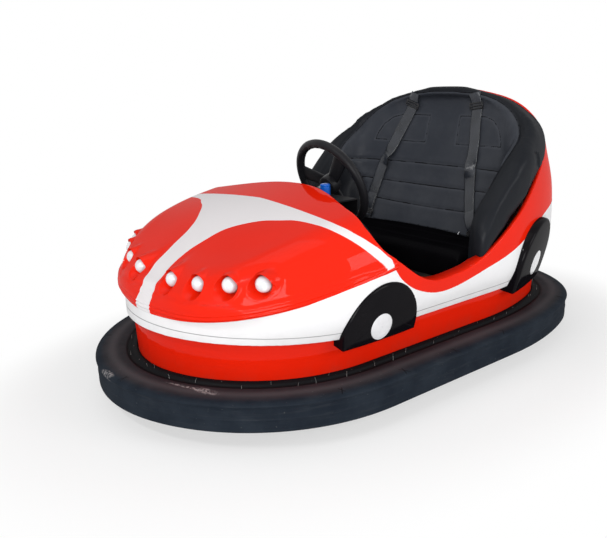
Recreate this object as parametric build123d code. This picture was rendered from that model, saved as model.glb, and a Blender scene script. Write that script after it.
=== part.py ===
"""Fairground bumper car: moulded body on a steel chassis inside a rubber ring.

Units are millimetres. +Z is up, the nose faces -Y and the rider's left is +X.
The origin is on the floor under the middle of the car's outer box.
"""

import os
from math import asin, atan2, cos, degrees, pi, radians, sin, sqrt, tan

from build123d import *

# driving sizes
LENGTH = 1935.0
WIDTH = 1150.0
SIDE = WIDTH / 2
RING_BOTTOM = 60.0
RING_NOSE_Y = -LENGTH / 2
RING_TAIL_Y = LENGTH / 2
STRAIGHT_FRONT = -350.0
STRAIGHT_REAR = 226.0

# bumper ring section: distance in from the outermost line, height
RIM_INSET = 136.0
RING_SECTION = (
    (4.0, RING_BOTTOM),
    (5.0, 130.0),
    (0.0, 136.0),
    (0.0, 141.0),
    (9.0, 147.0),
    (26.0, 150.0),
    (60.0, 151.0),
    (96.0, 149.0),
    (101.0, 143.0),
    (112.0, 143.0),
    (118.0, 152.0),
    (RIM_INSET, 156.0),
    (RIM_INSET, 141.0),
    (118.0, 134.0),
    (30.0, 133.0),
    (21.0, 125.0),
    (21.0, 79.0),
    (30.0, 72.0),
    (RIM_INSET, 72.0),
    (RIM_INSET, RING_BOTTOM),
)

# steel rim band behind the rubber
RIM_THICK = 6.0
RIM_TOP = 148.0
RIM_LOW = 62.0

# body mouldings
SHELL = 6.0
SKIRT_INSET_LOW = 137.0
SKIRT_INSET_HIGH = 130.0
SKIRT_TOP = 280.0
BAND_LOW_SIDE = 257.0
BAND_LOW_NOSE = 279.0
FLANGE_WIDE = 42.0

# chassis
FLOOR_TOP = 122.0
FLOOR_THICK = 3.0
TUBE = 40.0
RAIL_X = 250.0
RAIL_FRONT_Y = -700.0
RAIL_REAR_Y = 700.0

# front drive unit
KING_Y = -500.0
DRIVE_RADIUS = 125.0
DRIVE_WIDE = 60.0
SWEEP_HOLE = 182.0
KING_DIA = 32.0
KING_FIT = 0.4
BRIDGE_Z = 352.0
FORK_CROWN_Z = 290.0
MOTOR_DIA = 136.0

# rear wheels
REAR_Y = 500.0
REAR_RADIUS = 100.0
REAR_WIDE = 50.0
REAR_X = 310.0
STUB_DIA = 20.0
BORE_FIT = 0.4

# steering
WHEEL_CENTRE = (0.0, -90.0, 620.0)
WHEEL_RING = 154.0
WHEEL_TUBE = 16.0
# turn of each spoke from the rider's left, toward the top
SPOKE_ANGLES = (47.0, 167.0, 287.0)
COLUMN_TILT = 23.0
COLUMN_DIA = 22.0
COLUMN_SLEEVE = 36.0

# seat
CUSHION_TOP = 398.0


# plan curves
def side_corner_end(half, depth, side_radius, first, second):
    """Radii of the corner and end arcs that close a quarter plan curve."""
    a1, a2 = radians(first), radians(second)
    ux, uy = cos(a1) - 1.0, sin(a1)
    vx, vy = cos(a2) - cos(a1), sin(a2) - sin(a1)
    wx, wy = -cos(a2), 1.0 - sin(a2)
    px = -half - side_radius * ux
    py = depth - side_radius * uy
    det = vx * wy - wx * vy
    corner = (px * wy - wx * py) / det
    end = (vx * py - px * vy) / det
    return corner, end


def quarter(half, depth, side_radius, first, second):
    """Three tangent arcs from (half, 0) to (0, depth), as start, middle, end points."""
    corner, end = side_corner_end(half, depth, side_radius, first, second)
    x, y = half, 0.0
    arcs = []
    turns = ((side_radius, 0.0, first), (corner, first, second), (end, second, 90.0))
    for radius, start, stop in turns:
        points = [(x, y)]
        for angle in ((start + stop) / 2, stop):
            s, t = radians(start), radians(angle)
            points.append((x + radius * (cos(t) - cos(s)), y + radius * (sin(t) - sin(s))))
        arcs.append(points)
        x, y = points[-1]
    return arcs


def plan_wire(half, nose, tail, z, front=STRAIGHT_FRONT, rear=STRAIGHT_REAR, inset=None):
    """Closed plan curve: rounded nose, straight sides and a squarer tail."""
    nose_depth = front - nose
    tail_depth = tail - rear
    if inset is None:
        nose_side = 700.0 * nose_depth / 617.5
        tail_side = 1200.0 * tail_depth / 741.5
    else:
        nose_side = 700.0 - inset
        tail_side = 1200.0 - inset
    edges = []
    tail_arcs = quarter(half, tail_depth, tail_side, 20.0, 60.0)
    nose_arcs = quarter(half, nose_depth, nose_side, 10.0, 70.0)
    right = [[(x, rear + y, z) for x, y in arc] for arc in tail_arcs]
    left = [[(-x, y, zz) for x, y, zz in reversed(arc)] for arc in reversed(right)]
    low_left = [[(-x, front - y, z) for x, y in arc] for arc in nose_arcs]
    low_right = [[(-x, y, zz) for x, y, zz in reversed(arc)] for arc in reversed(low_left)]
    edges.append(Edge.make_line((half, front, z), (half, rear, z)))
    edges += [Edge.make_three_point_arc(*arc) for arc in right + left]
    edges.append(Edge.make_line((-half, rear, z), (-half, front, z)))
    edges += [Edge.make_three_point_arc(*arc) for arc in low_left + low_right]
    return Wire(edges)


def ring_plan(inset, z):
    """Outline of the bumper ring moved in by inset."""
    return plan_wire(SIDE - inset, RING_NOSE_Y + inset, RING_TAIL_Y - inset, z, inset=inset)


def ring_slab(inset, low, high):
    """Flat slab with the ring's outline moved in by inset."""
    return Solid.extrude(Face(ring_plan(inset, low)), Vector(0, 0, high - low))


def ring_loft(*levels):
    """Solid through ring outlines given as (inset, z)."""
    return Solid.make_loft([ring_plan(inset, z) for inset, z in levels], True)


def box(x0, x1, y0, y1, z0, z1):
    """Box between two corners."""
    size = (x1 - x0, y1 - y0, z1 - z0)
    middle = Location(((x0 + x1) / 2, (y0 + y1) / 2, (z0 + z1) / 2))
    return middle * Box(*size)


def rod(start, end, radius):
    """Round bar between two points."""
    start, end = Vector(*start), Vector(*end)
    along = end - start
    return Solid.make_cylinder(radius, along.length, Plane(origin=start, z_dir=along))


def side_prism(points, closing, reach=760.0):
    """Side-view region right across the car, bounded by a smooth line and closing corners."""
    line = Spline(*[(y, z) for y, z in points])
    corners = [points[-1]] + list(closing) + [points[0]]
    rest = Polyline(*corners)
    face = Plane.YZ * make_face(Curve() + [line, rest])
    return extrude(face, reach, both=True)


# body surface
# height, half width as a share of SIDE, nose Y, front and rear ends of the straight side, tail Y
BODY = (
    (122.0, 0.7722, -842.0, -350.0, 226.0, 835.0),
    (186.0, 0.7861, -849.0, -350.0, 226.0, 844.0),
    (250.0, 0.8052, -856.0, -350.0, 226.0, 856.0),
    (310.0, 0.8470, -850.0, -350.0, 226.0, 884.0),
    (400.0, 0.8678, -842.0, -350.0, 226.0, 899.0),
    (500.0, 0.8661, -830.0, -340.0, 226.0, 898.0),
    (600.0, 0.8470, -720.0, -240.0, 240.0, 881.0),
    (700.0, 0.8070, -580.0, -100.0, 260.0, 842.0),
    (780.0, 0.7704, -440.0, 20.0, 290.0, 782.0),
    (840.0, 0.6922, -290.0, 120.0, 320.0, 722.0),
    (890.0, 0.5565, -110.0, 210.0, 350.0, 664.0),
    (920.0, 0.3861, 50.0, 280.0, 380.0, 612.0),
    (938.0, 0.1878, 240.0, 360.0, 420.0, 585.0),
)


def body_solid(inset):
    """Tail and side surface of the body, moved in by inset."""
    sections = []
    for z, share, nose, front, rear, tail in BODY:
        half = share * SIDE
        drop = inset * min(max((z - 700.0) / 238.0, 0.0), 1.0)
        sections.append(plan_wire(half - inset, nose + inset, tail - inset, z - drop, front, rear))
    return Solid.make_loft(sections, False)


# station Y, crown height
HOOD = (
    (-841.0, 410.0),
    (-832.0, 414.0),
    (-810.0, 422.0),
    (-770.0, 446.0),
    (-700.0, 488.0),
    (-600.0, 544.0),
    (-500.0, 583.0),
    (-420.0, 603.0),
    (-360.0, 614.0),
    (-300.0, 625.0),
    (-230.0, 638.0),
)
HOOD_NOSE = -842.0
HOOD_HALF = 0.873 * SIDE
HOOD_REACH = 693.0
HOOD_SQUARE = 2.7
LIP_NOSE_Z = 336.0
LIP_SLOPE = 0.189


def lip_z(y):
    """Height of the hood's lower edge."""
    return LIP_NOSE_Z + LIP_SLOPE * (y - HOOD_NOSE)


def hood_half(y):
    """Half width of the hood at its lower edge."""
    back = 1.0 - min(max((y - HOOD_NOSE) / HOOD_REACH, 0.0), 1.0)
    return HOOD_HALF * (1.0 - back ** HOOD_SQUARE) ** (1.0 / HOOD_SQUARE)


def arch_wire(y, half, low, high, drop=0.0):
    """Upright cross-section: flat bottom, drop below low, and a three-arc shoulder on each side."""
    rise = high - low
    ratio = half / rise
    first = degrees(atan2(tan(radians(14.0)) * ratio, 1.0))
    second = degrees(atan2(tan(radians(72.0)) * ratio, 1.0))
    side = 2.6 * rise * rise / half
    arcs = quarter(half, rise, side, first, second)
    right = [[(px, y, low + pz) for px, pz in arc] for arc in arcs]
    left = [[(-px, y, pz) for px, y, pz in reversed(arc)] for arc in reversed(right)]
    edges = [Edge.make_three_point_arc(*arc) for arc in right + left]
    foot = [(-half, y, low), (-half, y, low - drop), (half, y, low - drop), (half, y, low)]
    if not drop:
        foot = [foot[0], foot[-1]]
    edges += [Edge.make_line(a, b) for a, b in zip(foot, foot[1:])]
    return Wire(edges)


def hood_solid(inset):
    """Hood surface, moved in by inset."""
    sections = []
    for y, crown in HOOD:
        where = y + inset * max(0.0, (-700.0 - y) / 141.0)
        half = hood_half(y) - inset
        sections.append(arch_wire(where, half, lip_z(y), crown - inset, 3.0 * inset))
    return Solid.make_loft(sections, False)

# side-view lines
# where the white side ends and the red rim starts, behind the hood's lip
WHITE_LINE = (
    (-277.0, lip_z(-277.0)),
    (-240.0, 405.0),
    (-186.0, 364.0),
    (-110.0, 334.0),
    (-29.0, 329.0),
    (113.0, 354.0),
    (333.0, 410.0),
    (482.0, 470.0),
    (661.0, 510.0),
    (950.0, 520.0),
)
# open edge of the cockpit from the cowl down to the sill and up behind the seat
COCKPIT_LINE = (
    (-352.0, 610.0),
    (-322.0, 505.0),
    (-264.0, 460.0),
    (-178.0, 401.0),
    (-100.0, 371.0),
    (-15.0, 371.0),
    (88.0, 388.0),
    (159.0, 417.0),
    (211.0, 445.0),
    (267.0, 479.0),
    (321.0, 513.0),
    (382.0, 556.0),
    (446.0, 604.0),
    (519.0, 652.0),
    (566.0, 694.0),
    (590.0, 750.0),
    (598.0, 850.0),
    (600.0, 960.0),
)
# front face of the seat's bolster
BOLSTER_LINE = (
    (112.0, 418.0),
    (140.0, 450.0),
    (190.0, 484.0),
    (245.0, 518.0),
    (330.0, 576.0),
    (395.0, 655.0),
    (435.0, 750.0),
    (466.0, 850.0),
    (482.0, 960.0),
)
# rear edge of the cowl in plan: distance from the middle, Y
COWL_EDGE = ((0.0, -238.0), (118.0, -250.0), (290.0, -309.0), (400.0, -340.0), (470.0, -352.0))

# seat hollow: height, half width as a share of SIDE, rear end of the straight side, back Y
SEAT_HOLLOW = (
    (300.0, 0.6922, 210.0, 388.0),
    (420.0, 0.7165, 220.0, 410.0),
    (560.0, 0.7443, 240.0, 455.0),
    (680.0, 0.7513, 260.0, 486.0),
    (770.0, 0.7165, 300.0, 508.0),
    (840.0, 0.6400, 360.0, 526.0),
    (885.0, 0.5113, 420.0, 539.0),
    (912.0, 0.3722, 465.0, 547.0),
)
PAD_THICK = 42.0


def seat_solid(grow):
    """Hollow of the seat, made larger by grow."""
    sections = []
    for z, share, rear, back in SEAT_HOLLOW:
        half = share * SIDE
        depth = back - rear + grow
        arcs = quarter(half + grow, depth, 1.1 * depth, 25.0, 72.0)
        right = [[(x, rear + y, z) for x, y in arc] for arc in arcs]
        left = [[(-x, y, zz) for x, y, zz in reversed(arc)] for arc in reversed(right)]
        edges = [Edge.make_three_point_arc(*arc) for arc in right + left]
        a, b = half + grow, -260.0
        edges.append(Edge.make_line((-a, rear, z), (-a, b, z)))
        edges.append(Edge.make_line((-a, b, z), (a, b, z)))
        edges.append(Edge.make_line((a, b, z), (a, rear, z)))
        sections.append(Wire(edges))
    return Solid.make_loft(sections, False)


def seat_y(x, z):
    """Y of the seat hollow's back at a width and height."""
    rows = SEAT_HOLLOW
    z = min(max(z, rows[0][0]), rows[-1][0])
    for low, high in zip(rows, rows[1:]):
        if z <= high[0]:
            k = (z - low[0]) / (high[0] - low[0])
            share, rear, back = (low[i] + k * (high[i] - low[i]) for i in (1, 2, 3))
            break
    half = share * SIDE
    depth = back - rear
    corner, end = side_corner_end(half, depth, 1.1 * depth, 25.0, 72.0)
    reach = end * cos(radians(72.0))
    if abs(x) <= reach:
        return back - end + sqrt(end * end - x * x)
    cx = reach - corner * cos(radians(72.0))
    cy = rear + depth - end + (end - corner) * sin(radians(72.0))
    return cy + sqrt(max(corner * corner - (abs(x) - cx) ** 2, 0.0))


# bumper and chassis
def make_bumper_tyre():
    points = [(SIDE - inset, STRAIGHT_FRONT, z) for inset, z in RING_SECTION]
    face = Face(Wire([Edge.make_line(p, q) for p, q in zip(points, points[1:] + points[:1])]))
    return Solid.sweep(face, ring_plan(0.0, 0.0))


def make_bumper_rim():
    high = RIM_TOP - RIM_LOW
    outer = Solid.extrude(Face(ring_plan(RIM_INSET, RIM_LOW)), Vector(0, 0, high))
    return outer - ring_slab(RIM_INSET + RIM_THICK, RIM_LOW - 1.0, RIM_TOP + 1.0)


def make_chassis_frame():
    top = FLOOR_TOP - FLOOR_THICK
    low = top - TUBE
    h = TUBE / 2
    inner = RAIL_X - h
    outer = RAIL_X + h
    tubes = []
    for side in (-1, 1):
        x0, x1 = sorted((side * inner, side * outer))
        tubes.append(box(x0, x1, RAIL_FRONT_Y, RAIL_REAR_Y, low, top))
    for y in (RAIL_FRONT_Y, -300.0, 200.0, RAIL_REAR_Y):
        tubes.append(box(-inner, inner, y - h, y + h, low, top))
    for y in (-120.0, 320.0):
        for side in (-1, 1):
            x0, x1 = sorted((side * outer, side * SIDE))
            tubes.append(box(x0, x1, y - h, y + h, low, top))
    for x in (-150.0, 150.0):
        tubes.append(box(x - h, x + h, RING_NOSE_Y, RAIL_FRONT_Y - h, low, top))
        tubes.append(box(x - h, x + h, RAIL_REAR_Y + h, RING_TAIL_Y, low, top))
    inside = ring_slab(RIM_INSET + RIM_THICK, low - 1.0, top + 1.0)
    return Compound([(tube & inside).solid() for tube in tubes])


def make_floor_pan():
    pan = ring_slab(RIM_INSET + RIM_THICK, FLOOR_TOP - FLOOR_THICK, FLOOR_TOP)
    pan -= rod((0, KING_Y, 100), (0, KING_Y, 140), SWEEP_HOLE)
    reach = REAR_RADIUS + 14.0
    for side in (-1, 1):
        x0, x1 = sorted((side * (REAR_X - 38.0), side * (REAR_X + 42.0)))
        pan -= box(x0, x1, REAR_Y - reach, REAR_Y + reach, 100.0, 140.0)
    return pan


def make_rear_stubs():
    parts = []
    z = REAR_RADIUS
    face = RAIL_X + TUBE / 2
    near = REAR_X - REAR_WIDE / 2 - 0.4
    far = REAR_X + REAR_WIDE / 2 + 0.4
    for side in (-1, 1):
        stub = rod((side * face, REAR_Y, z), (side * (far + 16.0), REAR_Y, z), STUB_DIA / 2)
        collar = rod((side * face, REAR_Y, z), (side * near, REAR_Y, z), 15.0)
        washer = rod((side * far, REAR_Y, z), (side * (far + 3.0), REAR_Y, z), 17.0)
        nut = rod((side * (far + 3.0), REAR_Y, z), (side * (far + 13.0), REAR_Y, z), 14.0)
        parts.append(stub.fuse(collar, washer, nut))
    return Compound(parts)


def make_steering_bridge():
    plate_low = BRIDGE_Z - 8.0
    parts = [box(-218.0, 218.0, KING_Y - 45.0, KING_Y + 60.0, plate_low, BRIDGE_Z)]
    for side in (-1, 1):
        x0, x1 = sorted((side * 210.0, side * 218.0))
        parts.append(box(x0, x1, KING_Y - 45.0, KING_Y + 60.0, FLOOR_TOP, plate_low))
        x0, x1 = sorted((side * 218.0, side * 262.0))
        parts.append(box(x0, x1, KING_Y - 45.0, KING_Y + 60.0, FLOOR_TOP, FLOOR_TOP + 8.0))
    parts.append(rod((0, KING_Y, 298.0), (0, KING_Y, 398.0), 32.0))
    bridge = parts[0].fuse(*parts[1:])
    return bridge - rod((0, KING_Y, 290.0), (0, KING_Y, 405.0), KING_DIA / 2 + KING_FIT / 2)


# steering column
def on_column(distance, side=0.0, rise=0.0):
    """Point along the column from the steering wheel's centre toward the nose."""
    c, s = cos(radians(COLUMN_TILT)), sin(radians(COLUMN_TILT))
    x, y, z = WHEEL_CENTRE
    return (x + side, y - distance * c - rise * s, z - distance * s + rise * c)


APEX = (KING_Y - WHEEL_CENTRE[1]) / -cos(radians(COLUMN_TILT))


def make_column_tube():
    sleeve = rod(on_column(60.0), on_column(396.0), COLUMN_SLEEVE / 2)
    foot_y = on_column(392.0)[1]
    foot = box(-14.0, 14.0, foot_y - 4.0, foot_y + 4.0, BRIDGE_Z, on_column(392.0)[2])
    base = box(-22.0, 22.0, foot_y - 4.0, foot_y + 8.0, BRIDGE_Z, BRIDGE_Z + 8.0)
    tube = sleeve.fuse(foot, base)
    return tube - rod(on_column(50.0), on_column(410.0), COLUMN_DIA / 2 + BORE_FIT / 2)


def make_steering_shaft():
    shaft = rod(on_column(6.0), on_column(APEX - 16.0), COLUMN_DIA / 2)
    axis = Vector(*on_column(0.0)) - Vector(*on_column(1.0))
    plane = Plane(origin=on_column(APEX - 16.0), z_dir=axis)
    gear = Solid.make_cone(20.5, 34.0, 9.0, plane)
    back = rod(on_column(APEX - 25.0), on_column(APEX - 33.0), 34.0)
    collar = rod(on_column(46.0), on_column(59.0), 17.0)
    return shaft.fuse(gear, back, collar)


def make_wheel_rim():
    axis = Vector(*on_column(0.0)) - Vector(*on_column(1.0))
    return Solid.make_torus(WHEEL_RING, WHEEL_TUBE, Plane(origin=WHEEL_CENTRE, z_dir=axis))


def make_wheel_hub():
    axis = Vector(*on_column(0.0)) - Vector(*on_column(1.0))
    hub = rod(on_column(-14.0), on_column(26.0), 36.0)
    cap = rod(on_column(-22.0), on_column(-14.0), 28.0)
    spokes = []
    for angle in SPOKE_ANGLES:
        blade = box(24.0, WHEEL_RING - 6.0, -19.0, 19.0, -4.0, 4.0)
        plane = Plane(origin=WHEEL_CENTRE, x_dir=(1, 0, 0), z_dir=axis)
        spokes.append(plane.location * (Rot(0, 0, -angle) * blade))
    hub = hub.fuse(cap, *spokes)
    hub -= rod(on_column(6.0), on_column(27.0), COLUMN_DIA / 2)
    return hub - Solid.make_torus(WHEEL_RING, WHEEL_TUBE, Plane(origin=WHEEL_CENTRE, z_dir=axis))


# front drive unit
def make_drive_fork():
    crown = box(-50.0, 50.0, KING_Y - 42.0, KING_Y + 42.0, FORK_CROWN_Z - 12.0, FORK_CROWN_Z)
    low = DRIVE_RADIUS
    parts = [crown]
    for side in (-1, 1):
        x0, x1 = sorted((side * 38.0, side * 50.0))
        parts.append(box(x0, x1, KING_Y - 32.0, KING_Y + 32.0, low, FORK_CROWN_Z - 12.0))
        parts.append(rod((side * 38.0, KING_Y, low), (side * 50.0, KING_Y, low), 32.0))
    parts.append(rod((0, KING_Y, FORK_CROWN_Z), (0, KING_Y, FORK_CROWN_Z + 7.0), 24.0))
    parts.append(rod((0, KING_Y, FORK_CROWN_Z), (0, KING_Y, 422.0), KING_DIA / 2))
    fork = crown.fuse(*parts[1:])
    return fork - rod((-60, KING_Y, low), (60, KING_Y, low), 12.0 + BORE_FIT / 2)


def make_king_gear():
    apex_z = on_column(APEX)[2]
    gear = Solid.make_cone(34.0, 20.5, 9.0, Plane(origin=(0, KING_Y, apex_z - 25.0)))
    back = rod((0, KING_Y, apex_z - 33.0), (0, KING_Y, apex_z - 25.0), 34.0)
    gear = gear.fuse(back)
    return gear - rod((0, KING_Y, 380.0), (0, KING_Y, 422.0), KING_DIA / 2)


def make_drive_motor():
    z = DRIVE_RADIUS + 27.0
    can = rod((50.0, KING_Y, z), (134.0, KING_Y, z), MOTOR_DIA / 2)
    end = rod((134.0, KING_Y, z), (148.0, KING_Y, z), MOTOR_DIA / 2 - 16.0)
    return can.fuse(end) - rod((40, KING_Y, DRIVE_RADIUS), (62, KING_Y, DRIVE_RADIUS), 14.0)


def make_drive_wheel_hub():
    z = DRIVE_RADIUS
    half = DRIVE_WIDE / 2
    hub = rod((-half, KING_Y, z), (half, KING_Y, z), 88.0)
    hub -= rod((-half - 1, KING_Y, z), (-8.0, KING_Y, z), 78.0)
    hub -= rod((8.0, KING_Y, z), (half + 1, KING_Y, z), 78.0)
    boss = rod((-half, KING_Y, z), (half, KING_Y, z), 26.0)
    axle = rod((-52.0, KING_Y, z), (52.0, KING_Y, z), 12.0)
    return hub.fuse(boss, axle)


def make_tyre(x, y, radius, inner, wide, shoulder=8.0):
    """Solid rubber tyre about an axle across the car."""
    half = wide / 2
    tyre = rod((x - half, y, radius), (x + half, y, radius), radius)
    tyre = chamfer(tyre.edges().filter_by(GeomType.CIRCLE), shoulder)
    return tyre - rod((x - half - 1, y, radius), (x + half + 1, y, radius), inner)


def make_rear_hub(side):
    x = side * REAR_X
    z = REAR_RADIUS
    half = REAR_WIDE / 2
    hub = rod((x - half, REAR_Y, z), (x + half, REAR_Y, z), 66.0)
    hub -= rod((x - half - 1, REAR_Y, z), (x - 7.0, REAR_Y, z), 58.0)
    hub -= rod((x + 7.0, REAR_Y, z), (x + half + 1, REAR_Y, z), 58.0)
    hub = hub.fuse(rod((x - half, REAR_Y, z), (x + half, REAR_Y, z), 22.0))
    return hub - rod((x - 40, REAR_Y, z), (x + 40, REAR_Y, z), STUB_DIA / 2 + BORE_FIT / 2)


# body mouldings
def below_white_line(drop=0.0):
    line = [(y, z - drop) for y, z in WHITE_LINE]
    corners = [(950.0, 60.0), (-950.0, 60.0), (-950.0, lip_z(-950.0) - drop)]
    return side_prism(line, corners)


def make_skirt_block():
    """Filled shape of the skirt."""
    return ring_loft((SKIRT_INSET_LOW, RIM_TOP), (SKIRT_INSET_HIGH, SKIRT_TOP))


def make_lower_skirt(block):
    low, high = SKIRT_INSET_LOW + SHELL, SKIRT_INSET_HIGH + SHELL
    return block - ring_loft((low, RIM_TOP), (high, SKIRT_TOP))


def band_bottom(shift):
    """Everything under the white side's lower edge, moved up by shift."""
    nose, side = BAND_LOW_NOSE + shift, BAND_LOW_SIDE + shift
    points = [(-950.0, nose + 4.0), (-700.0, nose - 6.0), (-350.0, side), (950.0, side)]
    corners = [(950.0, 60.0), (-950.0, 60.0)]
    return extrude(Plane.YZ * make_face(Polyline(*points, *corners, points[0])), 760.0, both=True)


def make_side_band(outer, inner):
    return ((outer - inner) & below_white_line()) - band_bottom(0.0)


def cockpit_void(line, reach=1100.0):
    return side_prism(line, [(line[-1][0], reach), (line[0][0], reach)])


def make_tail_shell(outer, inner, void):
    shell = outer - inner
    tail = shell - below_white_line() - void
    tail -= box(-600, 600, -1000, WHITE_LINE[0][0], 0, 1200)
    strip = (Pos(0, 0, -7.0) * void) - void
    strip &= box(-600, 600, WHITE_LINE[0][0], 190.0, 300, 600)
    flange = (body_solid(SHELL - 1.0) - body_solid(FLANGE_WIDE)) & strip
    return tail.fuse(flange)


def cowl_cut():
    """Region behind the cowl's rear edge."""
    right = [(x, y) for x, y in COWL_EDGE]
    left = [(-x, y) for x, y in reversed(COWL_EDGE[1:])]
    line = Spline(*(left + right))
    rest = Polyline(right[-1], (600.0, -352.0), (600.0, 0.0), (-600.0, 0.0), (-600.0, -352.0), left[0])
    return Pos(0, 0, 300) * extrude(make_face(Curve() + [line, rest]), 500.0)


HEADLAMPS = (
    # distance from the middle, Y, Z, angle outward
    (100.0, -783.0, 430.0, 4.0),
    (208.0, -760.0, 435.0, 8.0),
    (300.0, -719.0, 443.0, 12.0),
    (377.0, -662.0, 450.0, 16.0),
)
LAMP_RADIUS = 24.0
POCKET_RADIUS = 29.0
BROW_RADIUS = 34.0
POCKET_BACK = 5.0


def lamp_plane(side, row, forward=0.0):
    """Frame at a headlamp, Z axis straight out of the lens."""
    x, y, z, yaw = row
    out = Vector(side * sin(radians(yaw)), -cos(radians(yaw)), 0)
    return Plane(origin=Vector(side * x, y, z) + out * forward, z_dir=out)


def make_hood(void):
    outer, inner = hood_solid(0.0), hood_solid(SHELL)
    brows, troughs, pockets = [], [], []
    for side in (-1, 1):
        for row in HEADLAMPS:
            back = -POCKET_BACK
            brows.append(Solid.make_sphere(BROW_RADIUS, lamp_plane(side, row, back)))
            trough = Solid.make_cylinder(BROW_RADIUS, 80.0, lamp_plane(side, row, back))
            troughs.append(trough & outer)
            pockets.append(Solid.make_cylinder(POCKET_RADIUS, 110.0, lamp_plane(side, row, back)))
    shell = (outer - inner).fuse(*brows, *troughs)
    shell = shell.cut(*pockets)
    shell -= cowl_cut() & void
    return shell - (box(-600, 600, WHITE_LINE[0][0], 200, 300, 800) - void)


def make_headlamps():
    lamps = []
    for side in (-1, 1):
        for row in HEADLAMPS:
            ball = Solid.make_sphere(LAMP_RADIUS, lamp_plane(side, row))
            front = Solid.make_cylinder(LAMP_RADIUS + 1.0, 40.0, lamp_plane(side, row, -POCKET_BACK))
            lamps.append(ball & front)
    return Compound(lamps)


PODS = (
    # face centre X, Y, Z, radius, depth of the flat foot, turn to the rear, lean, dome radius
    (0.8435 * SIDE, -315.0, 259.5, 149.0, 35.0, 0.0, 10.8, 2400.0),
    (0.8035 * SIDE, 488.0, 317.5, 159.0, 93.0, 18.0, 12.2, 2000.0),
)
POD_DEEP = 90.0
POD_EDGE = 7.0
# trim disc: distance along the pod's face from its centre, rise, radius
POD_DISCS = ((-12.3, 15.9, 41.6), (-0.8, -6.0, 46.0))
DISC_THICK = 2.0


def pod_plane(row):
    """Frame on the left pod's face: X to the rear, Y up, Z outward."""
    turn, lean = radians(row[5]), radians(row[6])
    out = Vector(cos(turn) * cos(lean), sin(turn) * cos(lean), -sin(lean))
    return Plane(origin=row[:3], x_dir=(-sin(turn), cos(turn), 0), z_dir=out)


def pod_dome(row, grow=0.0):
    """Ball whose surface is the pod's face."""
    return Pos(0, 0, -row[7]) * Sphere(row[7] + grow)


def both_sides(parts):
    """Parts of the left side and their mirror images."""
    return Compound(parts + [part.mirror(Plane.YZ) for part in parts])


def make_pods(outer, skirt_block):
    wall = outer - band_bottom(0.0)
    pods = []
    for row in PODS:
        r, foot = row[3], row[4]
        outline = Circle(r) + Pos(-r / 2, -foot / 2) * Rectangle(r, foot)
        outline -= Pos(0, -foot - r) * Rectangle(4 * r, 2 * r)
        block = extrude(outline, POD_DEEP / 2, both=True) & pod_dome(row)
        edge = block.faces().sort_by(Axis.Z)[-1].edges()
        block = chamfer(edge, POD_EDGE)
        pods.append((pod_plane(row).location * block - wall - skirt_block).solid())
    return both_sides(pods)


def make_pod_discs():
    discs = []
    for row, (along, rise, radius) in zip(PODS, POD_DISCS):
        spot = Pos(along, rise, 0) * extrude(Circle(radius), 30.0, both=True)
        disc = (spot & pod_dome(row, DISC_THICK)) - pod_dome(row)
        discs.append((pod_plane(row).location * disc).solid())
    return both_sides(discs)


# cockpit
def make_cockpit_liner(void):
    shell = body_solid(FLANGE_WIDE) - body_solid(FLANGE_WIDE + 4.0)
    shell &= box(-600, 600, -326.0, 111.0, FLOOR_TOP, 600.0)
    shell -= Pos(0, 0, -7.0) * void
    return shell - (box(-600, 600, -400.0, WHITE_LINE[0][0], 300, 800) - below_white_line(2.0))


def make_dash_panel():
    section = Face(arch_wire(-330.0, hood_half(-360.0) - SHELL - 2.0, lip_z(-360.0), 609.0))
    sheet = Solid.extrude(section, Vector(0, 4.0, 0))
    shelf = box(-190, 190, -326.0, -140.0, 590, 594)
    shelf = shelf.fuse(box(-190, 190, -144.0, -140.0, 540, 590))
    panel = sheet.fuse(shelf)
    return panel - rod(on_column(40.0), on_column(400.0), COLUMN_SLEEVE / 2)


def make_blue_switch():
    knob = rod((61.0, -171.0, 594.0), (61.0, -171.0, 634.0), 18.0)
    return chamfer(knob.edges().filter_by(GeomType.CIRCLE).sort_by(Axis.Z)[-1], 3.0)


def make_seat_base():
    parts = [box(-394.0, 394.0, 126.0, 470.0, 294.0, 300.0)]
    parts.append(box(-394.0, 394.0, 120.0, 126.0, FLOOR_TOP, 300.0))
    for side in (-1, 1):
        x0, x1 = sorted((side * 226.0, side * 232.0))
        parts.append(box(x0, x1, 126.0, 470.0, FLOOR_TOP, 294.0))
    return parts[0].fuse(*parts[1:])


def make_seat_cushion():
    block = seat_solid(-0.5) & box(-600, 600, 108.0, 600, 300.0, CUSHION_TOP)
    front = block.edges().filter_by(Axis.X).sort_by(Axis.Y)[:2].sort_by(Axis.Z)[-1]
    return fillet(front, 28.0)


def make_seat_back(void):
    hollow, backing = seat_solid(0.0), seat_solid(PAD_THICK)
    bolster_void = cockpit_void(BOLSTER_LINE)
    inside = body_solid(SHELL + 0.5) & backing
    over = body_solid(-3.0) & void
    behind = box(-700, 700, 112.0, 900, 300, 1000)
    pad = (inside - void).fuse(over - bolster_void) & behind
    pad = pad - hollow - bolster_void
    return pad - box(-700, 700, 0, 900, 0, 300.0)


BELT_TOP = (148.0, 911.0)
BELT_SLIDER = (159.0, 870.0)
BELT_FOOT = (284.0, 408.0)
# distance from the middle and height between slider and foot, right and left belt
BELT_LINES = {
    -1: ((178.0, 822.0), (206.0, 748.0), (228.0, 689.0), (250.0, 630.0), (274.0, 528.0), (284.0, 445.0)),
    1: ((164.0, 822.0), (178.0, 748.0), (186.0, 689.0), (196.0, 610.0), (214.0, 520.0), (248.0, 445.0)),
}
BELT_WIDE = 44.0
BELT_THICK = 2.4


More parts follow.
